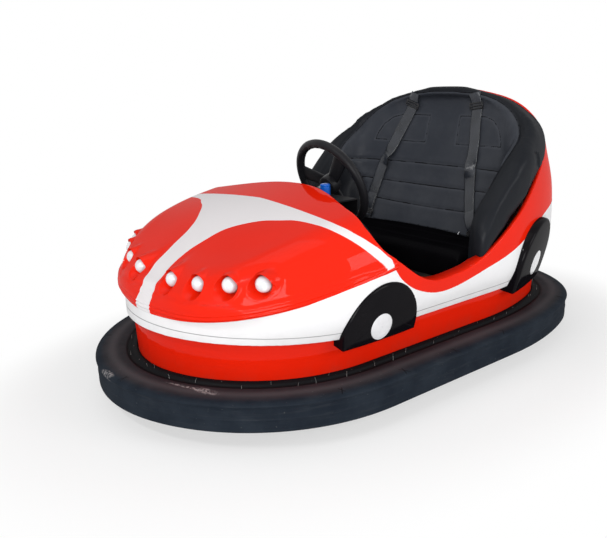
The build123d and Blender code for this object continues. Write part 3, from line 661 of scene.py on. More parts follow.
def ring_rubber():
    """Worn rubber: grey dusty top with painted light on its crown, blue-black wall, cuts and an inner gap
    darkened with painted shade, and pale scuffs.
    """
    f = Finish("bumper rubber", specular_ior_level=0.0, coat_weight=0.10, coat_roughness=0.45)
    along, inset = f.field("along"), f.field("inset")
    x, y, z = f.axes()
    broad = f.noise(7.0, 4.0, 0.6)
    grain = f.noise(260.0, 3.0, 0.6)
    top = f.ramp(inset, 0.012, 0.034)
    dusty = f.mix(f.ramp(broad, 0.3, 0.7), (0.022, 0.022, 0.026), (0.035, 0.033, 0.038))
    wall = f.mix(f.ramp(broad, 0.3, 0.7), (0.009, 0.013, 0.020), (0.018, 0.024, 0.033))
    streaks = f.ramp(f.noise(6.0, 4.0, 0.7, stretch=(1.0, 1.0, 12.0)), 0.5, 0.75)
    wall = f.mix(streaks * 0.4, wall, (0.034, 0.038, 0.045))
    tint = f.mix(top, wall, dusty)
    # painted light: a lighter band along the ring's crown, where its top faces the light
    crown = f.ramp(abs(inset - 0.054), 0.0, 0.026, 0.60, 0.0)
    tint = f.mix(crown, tint, (0.076, 0.071, 0.076))
    # painted shade: the inner gap next to the skirt is coloured near black
    gap = f.ramp(inset, 0.094, 0.103)
    tint = f.mix(gap, tint, (0.007, 0.007, 0.008))
    # cuts across the top: pressed in by the bump, and their dark colour is painted shade
    cell = (along + f.noise(3.0, 1.0) * 0.12) % 0.235 - 0.118
    slant = (inset - 0.012) * 0.55
    first = f.ramp(abs(cell - slant), 0.0006, 0.0018, 1.0, 0.0)
    second = f.ramp(abs(cell - 0.014 + slant), 0.0006, 0.0018, 1.0, 0.0)
    cuts = (first + second) * f.ramp(inset, 0.006, 0.010) * f.ramp(inset, 0.034, 0.040, 1.0, 0.0)
    cuts = cuts * f.ramp(f.noise(5.0, 0.0), 0.44, 0.5)
    tint = f.mix(cuts, tint, (0.004, 0.004, 0.004))
    scuffed = None
    for sx, sy, long, wide, turn in SCUFFS:
        c, s = cos(radians(turn)), sin(radians(turn))
        u = ((x - sx) * c + (y - sy) * s) * (1 / long)
        v = ((y - sy) * c - (x - sx) * s) * (1 / wide)
        spot = f.ramp(u * u + v * v, 0.3, 1.6, 1.0, 0.0)
        scuffed = spot if scuffed is None else scuffed + spot
    torn = f.ramp(f.noise(95.0, 6.0, 0.75), 0.42, 0.60)
    scuffed = scuffed * torn * f.ramp(z, 0.125, 0.135)
    tint = f.mix(f.maths("MINIMUM", scuffed * 0.8, 1.0), tint, (0.36, 0.34, 0.34))
    specks = f.ramp(f.noise(150.0, 2.0, 0.8), 0.70, 0.76)
    tint = f.mix(specks * 0.25, tint, (0.3, 0.29, 0.28))
    rough = f.ramp(broad, 0.3, 0.7, 0.44, 0.62) + scuffed * 0.2 + gap * 0.2
    f.set(base_color=tint, roughness=rough)
    f.bump(grain * 0.25 + broad * 0.6 - cuts * 2.0 + scuffed * 0.8, 0.0009, 0.6)
    return f


def vinyl(name, light, dark, rough, sheen):
    """Black vinyl: fine grain, stitched lines from the seam field with a painted highlight next to them, and
    painted shade where the roll field is 1.
    """
    f = Finish(name, specular_ior_level=0.0, coat_weight=sheen, coat_roughness=0.34)
    cells = f.node("TexVoronoi", {"feature": "DISTANCE_TO_EDGE"}, Vector=f.place(), Scale=420.0)
    grain = f.ramp(cells, 0.0, 0.12)
    broad = f.noise(5.0, 4.0, 0.6)
    seam = f.field("seam")
    line = f.ramp(seam, 0.0010, 0.0030, 1.0, 0.0)
    # painted highlight: a lighter band along each seam
    seam_highlight = f.ramp(seam, 0.002, 0.012, 1.0, 0.0)
    tint = f.mix(f.ramp(broad, 0.3, 0.7), dark, light)
    tint = f.mix(seam_highlight * 0.3, tint, deep(light, 1.5))
    # painted shade: the bolster, where the roll field is 1, is darkened
    tint = f.mix(f.field("roll") * 0.85, tint, deep(dark, 0.22))
    tint = f.mix(line, tint, (0.002, 0.002, 0.003))
    f.set(base_color=tint, roughness=f.ramp(broad, 0.3, 0.7, rough, rough + 0.14) + line * 0.3)
    wrinkle = f.noise(26.0, 3.0, 0.5, stretch=(1.0, 1.0, 2.2))
    f.bump(grain * 0.12 + wrinkle * 0.9 - line * 1.6, 0.0012, 0.55)
    return f


def webbing():
    """Woven belt: cross ribs, selvedges and a silky sheen."""
    f = Finish("belt webbing", specular_ior_level=0.2, coat_weight=0.6, coat_roughness=0.24)
    across = f.field("across")
    rib = f.maths("SINE", f.field("along") * 2600.0)
    yarn = f.maths("SINE", across * 5200.0)
    weave = rib * 0.5 + yarn * 0.25
    edge = f.ramp(abs(across), 0.0220, 0.0236)
    broad = f.ramp(f.noise(14.0, 3.0), 0.3, 0.7)
    tint = f.mix(broad, (0.009, 0.012, 0.018), (0.022, 0.026, 0.036))
    tint = f.mix(edge * 0.5, tint, (0.006, 0.006, 0.007))
    tint = f.mix(f.ramp(rib, 0.2, 1.0) * 0.3, tint, (0.030, 0.031, 0.035))
    f.set(base_color=tint, roughness=broad * 0.1 + 0.27)
    f.bump(weave, 0.0003, 0.6)
    return f


def moulded(name, colour, rough=0.4, grain=0.5, gloss=0.0, wear=0.3, shine=0.25):
    """Moulded plastic with a fine texture, handling shine and light marks."""
    f = Finish(name, specular_ior_level=shine, coat_weight=gloss, coat_roughness=0.08)
    broad = f.ramp(f.noise(11.0, 4.0, 0.6), 0.3, 0.7)
    fine = f.noise(420.0, 2.0)
    marks = f.scratches(14.0, 0.5)
    tint = f.mix(broad * 0.6, colour, deep(colour, 0.7))
    tint = f.mix(marks * wear, tint, tuple(min(1.0, c * 2.0 + 0.05) for c in colour))
    f.set(base_color=tint, roughness=broad * 0.12 + marks * 0.15 + rough)
    f.bump(fine * grain - marks * 0.4, 0.0004, 0.35)
    return f


def painted_steel(name, colour, rough=0.42):
    """Painted steel: brushed-on coat, chips to bare metal, dust."""
    f = Finish(name, specular_ior_level=0.5)
    broad = f.ramp(f.noise(8.0, 5.0, 0.65), 0.3, 0.7)
    chips = f.ramp(f.noise(70.0, 5.0, 0.7), 0.66, 0.69)
    dust = f.ramp(f.noise(21.0, 6.0, 0.7), 0.45, 0.8)
    tint = f.mix(broad * 0.6, colour, deep(colour, 0.6))
    tint = f.mix(dust * 0.35, tint, (0.14, 0.12, 0.10))
    tint = f.mix(chips, tint, (0.30, 0.27, 0.24))
    f.set(base_color=tint, metallic=chips * 0.8, roughness=broad * 0.15 + dust * 0.15 + rough)
    f.bump(f.noise(160.0, 3.0) * 0.5 - chips, 0.0006, 0.5)
    return f


def bare_steel(name, colour, rough=0.3):
    """Turned steel with tool marks and an oily film."""
    f = Finish(name, metallic=1.0)
    turned = f.noise(90.0, 3.0, 0.6, stretch=(6.0, 1.0, 1.0))
    film = f.ramp(f.noise(12.0, 4.0, 0.6), 0.35, 0.75)
    tint = f.mix(film * 0.5, colour, deep(colour, 0.45))
    f.set(base_color=tint, roughness=film * 0.2 + turned * 0.12 + rough)
    f.bump(turned, 0.0003, 0.4)
    return f


def cast_iron(name, colour):
    """Rough casting with rust in its pits."""
    f = Finish(name, metallic=0.6)
    sand = f.noise(220.0, 4.0, 0.7)
    rust = f.ramp(f.noise(16.0, 5.0, 0.7), 0.5, 0.72)
    f.set(base_color=f.mix(rust * 0.6, colour, (0.16, 0.07, 0.035)), roughness=rust * 0.25 + 0.5)
    f.bump(sand, 0.001, 0.6)
    return f


def tyre_rubber():
    """Solid tyre: dusty tread with fine grooves round it, darkened with painted shade."""
    f = Finish("wheel rubber", specular_ior_level=0.3)
    dust = f.ramp(f.noise(18.0, 5.0, 0.7), 0.35, 0.75)
    x = f.axes()[0]
    # painted shade: the grooves are darkened toward black
    rib = f.ramp(abs(x % 0.012 - 0.006), 0.0006, 0.0014, 1.0, 0.0)
    tint = f.mix(dust, (0.022, 0.022, 0.023), (0.07, 0.065, 0.06))
    f.set(base_color=f.mix(rib * 0.7, tint, (0.01, 0.01, 0.01)), roughness=dust * 0.15 + 0.62)
    f.bump(f.noise(240.0, 3.0) * 0.4 - rib, 0.001, 0.6)
    return f


def ribbed_mat():
    """Rubber mat with ribs along the car and grit between them."""
    f = Finish("mat rubber", specular_ior_level=0.3)
    x = f.axes()[0]
    rib = f.ramp(abs(x % 0.010 - 0.005), 0.0016, 0.0026)
    grit = f.ramp(f.noise(45.0, 6.0, 0.75), 0.5, 0.8)
    tint = f.mix(grit * 0.5, (0.022, 0.022, 0.023), (0.10, 0.088, 0.075))
    f.set(base_color=tint, roughness=grit * 0.2 + 0.6)
    f.bump(rib + f.noise(200.0, 3.0) * 0.2, 0.0015, 0.7)
    return f


def plywood():
    """Painted board with grain telling through."""
    f = Finish("painted board", specular_ior_level=0.4)
    grain = f.noise(30.0, 5.0, 0.65, stretch=(0.6, 9.0, 9.0))
    worn_and_shaded = f.ramp(f.noise(14.0, 5.0, 0.7), 0.55, 0.7)
    tint = f.mix(f.ramp(grain, 0.35, 0.65), (0.05, 0.035, 0.022), (0.09, 0.062, 0.040))
    f.set(base_color=f.mix(worn_and_shaded, (0.028, 0.026, 0.025), tint), roughness=worn_and_shaded * 0.2 + 0.5)
    f.bump(grain, 0.0008, 0.4)
    return f


def pearl_lens():
    """Pale lamp lens with fine rings under a clear coat, greyed toward its edge with painted shade."""
    f = Finish("lamp lens", coat_weight=1.0, coat_roughness=0.03, specular_ior_level=0.6)
    rings = f.maths("SINE", f.field("along") * 3200.0)
    cloud = f.ramp(f.noise(60.0, 3.0), 0.3, 0.7)
    tint = f.mix(cloud, (0.66, 0.67, 0.70), (0.80, 0.80, 0.82))
    # painted shade: the lens greys toward its edge by the bezel
    edge = f.ramp(f.field("along"), 0.022, 0.031)
    tint = f.mix(edge * 0.5, tint, (0.46, 0.46, 0.50))
    f.set(base_color=tint, roughness=cloud * 0.06 + 0.12)
    f.bump(rings, 0.00025, 0.3)
    return f


def node_finish(piece, finish):
    """The finish in every slot of a piece or carried-over node."""
    if not piece.material_slots:
        piece.data.materials.append(finish.material)
    for item in piece.material_slots:
        item.link = "OBJECT"
        item.material = finish.material


# settings shown in the sidebar
class BodySettings(bpy.types.PropertyGroup):
    red: bpy.props.FloatVectorProperty(
        name="Red", description="Colour of the hood, tail and skirt", subtype="COLOR", size=3,
        default=(0.80, 0.016, 0.003), min=0.0, max=1.0)
    white: bpy.props.FloatVectorProperty(
        name="White", description="Colour of the side band", subtype="COLOR", size=3,
        default=(0.83, 0.83, 0.84), min=0.0, max=1.0)
    edge: bpy.props.FloatProperty(
        name="Edge Radius", description="Radius of the rolled edges", default=0.003, min=0.001, unit="LENGTH")
    flange: bpy.props.FloatProperty(
        name="Sill Width", description="Width of the flat sill inside the cockpit", default=0.038,
        unit="LENGTH")


class SeatSettings(bpy.types.PropertyGroup):
    voxel: bpy.props.FloatProperty(
        name="Mesh Size", description="Voxel size of the padded meshes", default=0.010, min=0.004,
        unit="LENGTH")
    pressure: bpy.props.FloatProperty(
        name="Pressure", description="Air pressure that fills the pads", default=4.0, min=0.0)
    swell: bpy.props.FloatProperty(
        name="Swell", description="Furthest a point of a pad may move", default=0.010, unit="LENGTH")


class StageSettings(bpy.types.PropertyGroup):
    key: bpy.props.FloatProperty(
        name="Key Light", description="Power of the large front lamp", default=91.0, min=0.0, unit="POWER")
    fill: bpy.props.FloatProperty(
        name="Sky Strength", description="Strength of the even light all round", default=0.35, min=0.0)


def settings(name):
    return getattr(SCENE, "bumper_" + name)


# camera place in metres, yaw, pitch and roll in degrees, lens and sensor in millimetres
CAMERA_PLACE = (1.81915, -1.66819, 0.97534)
CAMERA_TURN = (51.5864, 15.4862, -1.4766)
LENS = 40.582
SENSOR = 36.0
# half width of the floor, and half axes of its shadow patch, in metres
FLOOR = 14.0
SHADOW_REACH = (0.85, 1.25)
# place and size in metres, share of the key light's power
LAMPS = (
    ("key lamp", (3.1, -2.9, 1.35), (2.4, 1.6), 1.0),
    ("top lamp", (0.0, -0.6, 3.4), (2.4, 1.6), 0.12),
    ("side lamp", (3.6, 1.4, 1.8), (1.8, 1.4), 0.45),
    ("strip lamp", (0.5, -2.6, 2.5), (1.6, 0.05), 0.22),
)


# operators
class BUMPER_OT_stage(bpy.types.Operator):
    """Camera, pale floor and soft studio light"""

    bl_idname = "bumper.stage"
    bl_label = "Build Stage"

    def execute(self, context):
        stage = settings("stage")
        self.camera()
        self.floor()
        world = bpy.data.worlds.new("studio")
        SCENE.world = world
        world.use_nodes = True
        sky = Nodes(world.node_tree)
        background = sky.tree.nodes["Background"]
        background.inputs["Color"].default_value = (1, 1, 1, 1)
        strength = sky.node("MapRange", Value=sky.seen(), To_Min=stage.fill)
        sky.feed(background.inputs["Strength"], strength)
        for name, place, size, share in LAMPS:
            lamp = bpy.data.lights.new(name, "AREA")
            lamp.shape, lamp.size, lamp.size_y = "RECTANGLE", *size
            lamp.energy = stage.key * share
            aim = Vector((0, 0, 0.4)) - Vector(place)
            turn = aim.to_track_quat("-Z", "Y").to_matrix().to_4x4()
            put(name, lamp).matrix_world = Matrix.Translation(place) @ turn
        SCENE.view_settings.view_transform = "Standard"
        return {"FINISHED"}

    @staticmethod
    def camera():
        """Camera at the photograph's angle."""
        data = bpy.data.cameras.new("camera")
        data.lens, data.sensor_width, data.clip_start = LENS, SENSOR, 0.05
        camera = put("camera", data)
        yaw, pitch, roll = (radians(angle) for angle in CAMERA_TURN)
        back = Vector((sin(yaw) * cos(pitch), -cos(yaw) * cos(pitch), sin(pitch)))
        flat = Vector((cos(yaw), sin(yaw), 0))
        over = back.cross(flat)
        right = flat * cos(roll) + over * sin(roll)
        up = over * cos(roll) - flat * sin(roll)
        turn = Matrix((right, up, back)).transposed().to_4x4()
        camera.matrix_world = Matrix.Translation(CAMERA_PLACE) @ turn
        SCENE.camera = camera

    @staticmethod
    def floor():
        """White floor that shows the shadow close to the car."""
        mesh = bpy.data.meshes.new("floor")
        corners = [(FLOOR * u, FLOOR * v, 0) for u, v in ((-1, -1), (1, -1), (1, 1), (-1, 1))]
        mesh.from_pydata(corners, [], [(0, 1, 2, 3)])
        put("floor", mesh)
        ground = Finish("pale floor", base_color=(0.93, 0.93, 0.93), roughness=0.9, specular_ior_level=0.1)
        mesh.materials.append(ground.material)
        glow = ground.node("Emission", Color=(1.0, 1.0, 1.0), Strength=1.0)
        x, y = ground.axes()[:2]
        reach = x * x * (1 / SHADOW_REACH[0] ** 2) + y * y * (1 / SHADOW_REACH[1] ** 2)
        share = ground.seen() * ground.ramp(reach, 0.75, 1.55, 0.55, 1.0)
        plain = Value(ground, ground.shader.outputs[0])
        mixed = ground.node("MixShader", i0=share, i1=plain, i2=glow)
        ground.feed(ground.tree.nodes["Material Output"].inputs["Surface"], mixed)


class BUMPER_OT_hood(bpy.types.Operator):
    """Hood with its lamp pockets, brows, rolled lip and stripe"""

    bl_idname = "bumper.hood"
    bl_label = "Build Hood"

    def execute(self, context):
        body = settings("body")
        theta, t = self.ends(301)
        plain = hood_point(theta, t)
        p = self.soften(plain)
        normal = grid_normals(p)
        normal *= np.sign(normal[90, 150, 2])
        bare = self.bare_skin(p)
        p = self.press(p)
        r = body.edge / MM
        rear = rolled_rows(p[-1], smooth_rows(unit(p[-1] - p[-3])), smooth_rows(normal[-1]), r, 14.0)
        p = np.concatenate([p, np.stack(rear)], axis=0)
        normal = np.concatenate([normal, np.repeat(normal[-1:], len(rear), axis=0)], axis=0)
        work = Patchwork("stripe")
        work.grid(p, flip=True, stripe=self.stripe(np.concatenate([plain, np.stack(rear)], axis=0)))
        for side, near in ((0, 2), (-1, -3)):
            out = unit(p[:, side] - p[:, near])
            rows = rolled_rows(p[:, side], smooth_rows(out), smooth_rows(normal[:, side]), r, 12.0)
            q = np.stack([p[:, side]] + rows, axis=0)
            work.grid(q, flip=side == 0, stripe=self.stripe(q))
        for side in (-1, 1):
            for row in HEADLAMPS:
                q = self.brow(bare, side, row)
                work.grid(q, wrap_cols=True, flip=True, stripe=self.stripe(q))
        work.make("hood_shell", hood_paint(tuple(body.red)), "hood_red", ("hood",))
        return {"FINISHED"}

    @staticmethod
    def ends(columns):
        """Angles of the rows in each column, from the nose to the cowl's edge or the sill."""
        t = np.sin(np.linspace(-pi / 2, pi / 2, columns) * 0.9) / sin(pi / 2 * 0.9)
        dense = np.linspace(0.0, 1.53, 900)
        p = hood_point(dense[:, None], t[None, :])
        x, y, z = p[..., 0], p[..., 1], p[..., 2]
        open_above = (y > -352) & (z > cockpit_height(y))
        past_cowl = y > np.interp(np.abs(x), COWL[200:, 0], COWL[200:, 1])
        gone = (past_cowl & open_above) | ((y > LIP_END) & ~open_above)
        first = np.where(gone.any(axis=0), gone.argmax(axis=0), 899)
        end = dense[first]
        smooth = evened(end, 5)
        end = np.where(np.abs(smooth - end) < 0.02, smooth, end)
        share = np.linspace(0, 1, 190)
        return share[:, None] * end[None, :], np.broadcast_to(t, (190, columns))

    @staticmethod
    def soften(p):
        """Raises the skin behind the lamps, steps it at the crease and swells the lip into two beads."""
        x, y = np.abs(p[..., 0]), p[..., 1]
        line = curve_through([BROW_START] + [row[:2] for row in HEADLAMPS] + [BROW_END])
        behind = (y - np.interp(x, line[:, 0], line[:, 1])) / (1 + (x / 420.0) ** 2)
        swell = np.where(behind < 0, np.exp(-(behind / 24.0) ** 2), np.exp(-(behind / 62.0) ** 2))
        swell *= 1 / (1 + np.exp((72.0 - x) / 7.0)) / (1 + np.exp((x - 425.0) / 12.0))
        low = p[..., 2] - lip_height(y)
        rise = crease_rise(y)
        for row in HEADLAMPS:
            rise = rise - SCALLOP * np.exp(-((x - row[0] + 10.0) / 24.0) ** 2) * (y < row[1] + 90.0)
        step = CREASE_STEP / (1 + np.exp((low - rise) / 2.1)) * np.clip(low / 24.0, 0.3, 1)
        beads = sum(size * np.exp(-((low - up) / wide) ** 2) for size, up, wide in LIP_BEADS)
        nose = NOSE_PUSH * np.exp(-(x / 90.0) ** 2) * np.clip((36.0 - low) / 20.0, 0, 1) * (y < -700.0)
        flat = p[..., :2] - np.array((0.0, -420.0))
        out = unit(np.concatenate([flat, np.zeros_like(p[..., :1])], axis=-1))
        p = p + (step + beads + nose)[..., None] * out
        p[..., 2] += BROW_SWELL * swell * np.clip((low - 40.0) / 30.0, 0, 1)
        return p

    @staticmethod
    def bare_skin(p):
        rows, cols = p.shape[:2]
        verts = [Vector(v) for v in p.reshape(-1, 3)]
        return BVHTree.FromPolygons(verts, grid_faces(rows, cols))

    @staticmethod
    def lamp_frame(side, row):
        x, y, z, yaw = row
        a = radians(yaw)
        out = np.array((side * sin(a), -cos(a), 0.0))
        return np.array((side * x, y, z)), out, np.array((cos(a), side * sin(a), 0.0)), np.array((0, 0, 1.0))

    @staticmethod
    def pocket_edge(angle):
        """Radius of a lamp's pocket where it meets the skin, wider below the lamp."""
        return POCKET_RADIUS + 0.6 + 11.0 * (0.5 - 0.5 * np.sin(angle)) ** 1.3

    def press(self, p):
        """Sinks the skin under each lamp surround, out of its way."""
        p = p.copy()
        for side in (-1, 1):
            for row in HEADLAMPS:
                centre, out, across, up = self.lamp_frame(side, row)
                q = p - centre
                w, u, v = q @ out, q @ across, q @ up
                sink = (np.hypot(u, v) < self.pocket_edge(np.arctan2(v, u)) + 1.5) & (w > -60)
                drop = np.where(sink, w + POCKET_BACK + 4.0, 0.0)
                p -= np.maximum(drop, 0.0)[..., None] * out
        return p

    def brow(self, bare, side, row):
        """Patch round a lamp: skin, low brow, flared pocket wall and pocket floor."""
        centre, out, across, up = self.lamp_frame(side, row)
        angles = np.linspace(0, 2 * pi, 96, endpoint=False)
        ring = np.cos(angles)[:, None] * across + np.sin(angles)[:, None] * up
        edge = self.pocket_edge(angles)
        rows = []
        for share in (1.0, 0.86, 0.74, 0.62, 0.51, 0.41, 0.32, 0.24, 0.17, 0.11, 0.06, 0.02, 0.0):
            radius = edge + (BROW_PATCH - edge) * share
            start = centre + ring * radius[:, None]
            skin = np.array([self.depth(bare, s, out) for s in start])
            ball = np.sqrt(np.maximum(BROW_RADIUS ** 2 - radius ** 2, 0.0)) - POCKET_BACK
            ball -= 5.0 * np.maximum(radius - BROW_RADIUS, 0.0)
            lift = 0.5 * (ball - skin + np.sqrt((skin - ball) ** 2 + 16.0))
            fade = np.clip((BROW_PATCH - radius) / 8.0, 0, 1)
            height = skin + lift * fade - 0.8 * np.clip((radius - 44.0) / 5.0, 0, 1) + 0.3 * fade
            rows.append(start + height[:, None] * out)
        top = (rows[-1] - centre) @ out
        for share in (0.03, 0.10, 0.25, 0.45, 0.65, 0.85, 1.0):
            radius = edge - (edge - LAMP_RADIUS - 3.0) * share ** 0.7
            height = top + (-POCKET_BACK - top) * share
            rows.append(centre + ring * radius[:, None] + height[:, None] * out)
        for radius in (LAMP_RADIUS + 1.0, LAMP_RADIUS - 4.0):
            rows.append(centre + ring * radius - POCKET_BACK * out)
        return np.stack(rows)

    @staticmethod
    def depth(bare, start, out):
        hit = bare.ray_cast(Vector(start + out * 150.0), Vector(-out))
        if hit[0] is None:
            return -30.0
        return float((np.array(hit[0]) - start) @ out)

    @staticmethod
    def stripe(p):
        """Signed distance to the stripe's edge in metres, above 0 in the white."""
        y = p[..., 1]
        x = np.abs(p[..., 0] - stripe_middle(y))
        front = curve_through(STRIPE)
        half = np.interp(y, front[:, 0], front[:, 1])
        tilt = np.interp(y, front[:, 0], np.gradient(front[:, 1], front[:, 0]))
        ahead = (half - x) / np.sqrt(1 + tilt ** 2)
        rear = curve_through(STRIPE_REAR)
        behind = np.interp(x, rear[:, 0], rear[:, 1]) - y
        above = np.where(y > -600.0, p[..., 2] - lip_height(y) - 10.0, 20.0)
        return np.minimum(np.minimum(ahead, behind), above) * MM


class BUMPER_OT_mouldings(bpy.types.Operator):
    """White side band, red tail and the skirt below them"""

    bl_idname = "bumper.mouldings"
    bl_label = "Build Mouldings"

    def execute(self, context):
        body = settings("body")
        self.band(tuple(body.white))
        self.tail(tuple(body.red), body.flange / MM)
        node_finish(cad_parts["lower_skirt"], skirt_paint(tuple(body.red)))
        return {"FINISHED"}

    @staticmethod
    def column_line(s, low, high, count):
        """Rows of one column of the body between two side-view lines."""
        z = np.linspace(250.0, BODY[-1, 0], 700)
        y = body_point(z, s)[:, 1]
        start = np.argmax(z > low(y))
        stop = np.argmax((z > high(y)) & (np.arange(700) > start))
        stop = stop if stop > start else 699
        return body_point(np.linspace(z[start], z[stop], count), s)

    @staticmethod
    def clear_pods(p):
        """Sinks the skin that lies under a pod to 8 mm below the pod's face."""
        p = p.copy()
        for row in PODS:
            along, up, out = pod_frame(row)
            for mirror in (1.0, MIRROR):
                q = p * mirror - np.array(row[:3])
                u, v, w = q @ along, q @ up, q @ out
                under = (np.hypot(u, v) < row[3] - 7.0) & (v > 5.0 - row[4]) & (w > -60.0)
                face = pod_sag(u, v, row[7])
                drop = np.where(under, np.maximum(w - face + 8.0, 0.0), 0.0)
                p -= drop[..., None] * out * mirror
        return p

    def band(self, white):
        side, rear = np.linspace(1, 2, 60)[1:], np.linspace(2, 3, 60)[1:]
        half = np.concatenate([np.linspace(0, 1, 70), side, rear])
        columns = [self.column_line(s, band_foot, white_top, 44) for s in half]
        p = mirrored(np.stack(columns, axis=1))
        rise = (p[..., 2] - band_foot(p[..., 1])) * MM
        p = self.clear_pods(p)
        normal = unit(np.cross(np.roll(p, -1, axis=1) - np.roll(p, 1, axis=1), np.gradient(p, axis=0)))
        tuck = [p[-1] + np.array((0, 0, up)) - back * normal[-1] for up, back in ((4.0, 3.0), (12.0, 11.0))]
        foot = rolled_rows(p[0], unit(p[0] - p[2]), normal[0], 3.0, 10.0)
        q = np.concatenate([np.stack(foot[::-1]), p, np.stack(tuck)], axis=0)
        ends = np.zeros((len(foot), p.shape[1])), np.full((2, p.shape[1]), 0.2)
        rise = np.concatenate([ends[0], rise, ends[1]], axis=0)
        work = Patchwork("rise")
        work.grid(q, wrap_cols=True, rise=rise)
        work.make("side_moulding", band_paint(white), "side_white", ("side_band",))

    @staticmethod
    def sill(y):
        """Upper end of the red shell; behind the cockpit it closes over the top."""
        return np.where(y > 600.0, 2000.0, cockpit_height(y) - 5.0)

    def tail(self, red, flange):
        start = 1.0 + (WHITE_LINE[0][0] - STRAIGHT[0]) / (STRAIGHT[1] - STRAIGHT[0])
        half = np.concatenate([np.linspace(start, 2, 110), np.linspace(2, 3, 90)[1:]])
        columns = [resample(self.column_line(s, white_top, self.sill, 120), 96) for s in half]
        p = mirrored(np.stack(columns, axis=1), None)
        normal = grid_normals(p)
        normal *= np.sign(normal[40, 60, 0])
        out, face = smooth_rows(unit(p[-1] - p[-3])), smooth_rows(normal[-1])
        wide = np.interp(p[-1][:, 1], (100.0, 190.0), (flange, 8.0))
        rows = rolled_rows(p[-1], out, face, 5.0, wide, turn=pi / 2)
        rows.append(rows[-1] - np.array((0, 0, 7.0)))
        foot = [p[0] - np.array((0, 0, down)) + normal[0] * over for down, over in ((1.5, -5.0), (1.0, 0.6))]
        q = np.concatenate([np.stack(foot), p, np.stack(rows)], axis=0)
        work = Patchwork()
        work.grid(q)
        work.make("tail_cover", gelcoat("tail gelcoat", red), "tail_red", ("tail_shell",))


class BUMPER_OT_ring(bpy.types.Operator):
    """Rubber bumper ring with moulding flash in its inner groove"""

    bl_idname = "bumper.ring"
    bl_label = "Build Ring"

    def execute(self, context):
        path, inward = self.path(560)
        outline = round_profile(RING_SECTION, 2)
        inset, height = outline[:, 0], outline[:, 1]
        steps = np.linalg.norm(np.diff(np.vstack([path, path[:1]]), axis=0), axis=1)
        along = np.r_[0, np.cumsum(steps)[:-1]] * MM
        p = path[None] + inset[:, None, None] * inward[None]
        p[..., 2] += height[:, None]
        work = Patchwork("along", "inset")
        work.grid(p, wrap_cols=True, flip=True, along=along[None, :], inset=inset[:, None] * MM)
        work.make("bumper_ring", ring_rubber(), "ring_rubber", ("bumper_tyre",))
        self.flash(path, inward)
        return {"FINISHED"}

    @staticmethod
    def path(count):
        """Outermost line of the ring and its inward direction."""
        half, nose, tail = WIDTH / 2, -LENGTH / 2, LENGTH / 2
        f = np.linspace(0, 1, 240)
        nx, ny = quarter_point(half, STRAIGHT[0] - nose, NOSE_SIDE, *NOSE_ARCS, f)
        tx, ty = quarter_point(half, tail - STRAIGHT[1], TAIL_SIDE, *TAIL_ARCS, f)
        quarter_nose = np.stack([nx, STRAIGHT[0] - ny], axis=1)
        quarter_tail = np.stack([tx, STRAIGHT[1] + ty], axis=1)
        right = np.vstack([quarter_nose[::-1], quarter_tail])
        left = right[-2:0:-1] * MIRROR[:2]
        loop = np.vstack([right, left, right[:1]])
        even = resample(loop, count + 1)[:-1]
        tangent = unit(np.roll(even, -1, axis=0) - np.roll(even, 1, axis=0))
        inward = np.stack([-tangent[:, 1], tangent[:, 0], np.zeros(count)], axis=1)
        return np.hstack([even, np.zeros((count, 1))]), inward

    @staticmethod
    def flash(path, inward):
        """Thin upright hairs of rubber left by the mould."""
        rng = np.random.default_rng(7)
        work = Patchwork()
        for k in range(0, len(path), 9):
            k = (k + int(rng.integers(0, 8))) % len(path)
            inset = rng.uniform(104, 124)
            tall, lean = rng.uniform(10, 24), rng.uniform(-6, 6)
            wide = rng.uniform(0.5, 0.95)
            foot = path[k] + inward[k] * inset + np.array((0, 0, 143.0))
            tangent = np.cross(inward[k], (0, 0, 1.0))
            ring = np.array([(1, 0), (-0.5, 0.87), (-0.5, -0.87)])
            rows = []
            for share in (0.0, 0.35, 0.7, 1.0):
                centre = foot + np.array((0, 0, tall * share)) + tangent * lean * share ** 2
                size = wide * (1 - 0.6 * share)
                rows.append(centre + size * (ring[:, :1] * tangent + ring[:, 1:] * inward[k]))
            work.grid(np.stack(rows), wrap_cols=True)
        work.make("ring_flash", moulded("rubber flash", (0.34, 0.33, 0.32), 0.6), "ring_rubber")


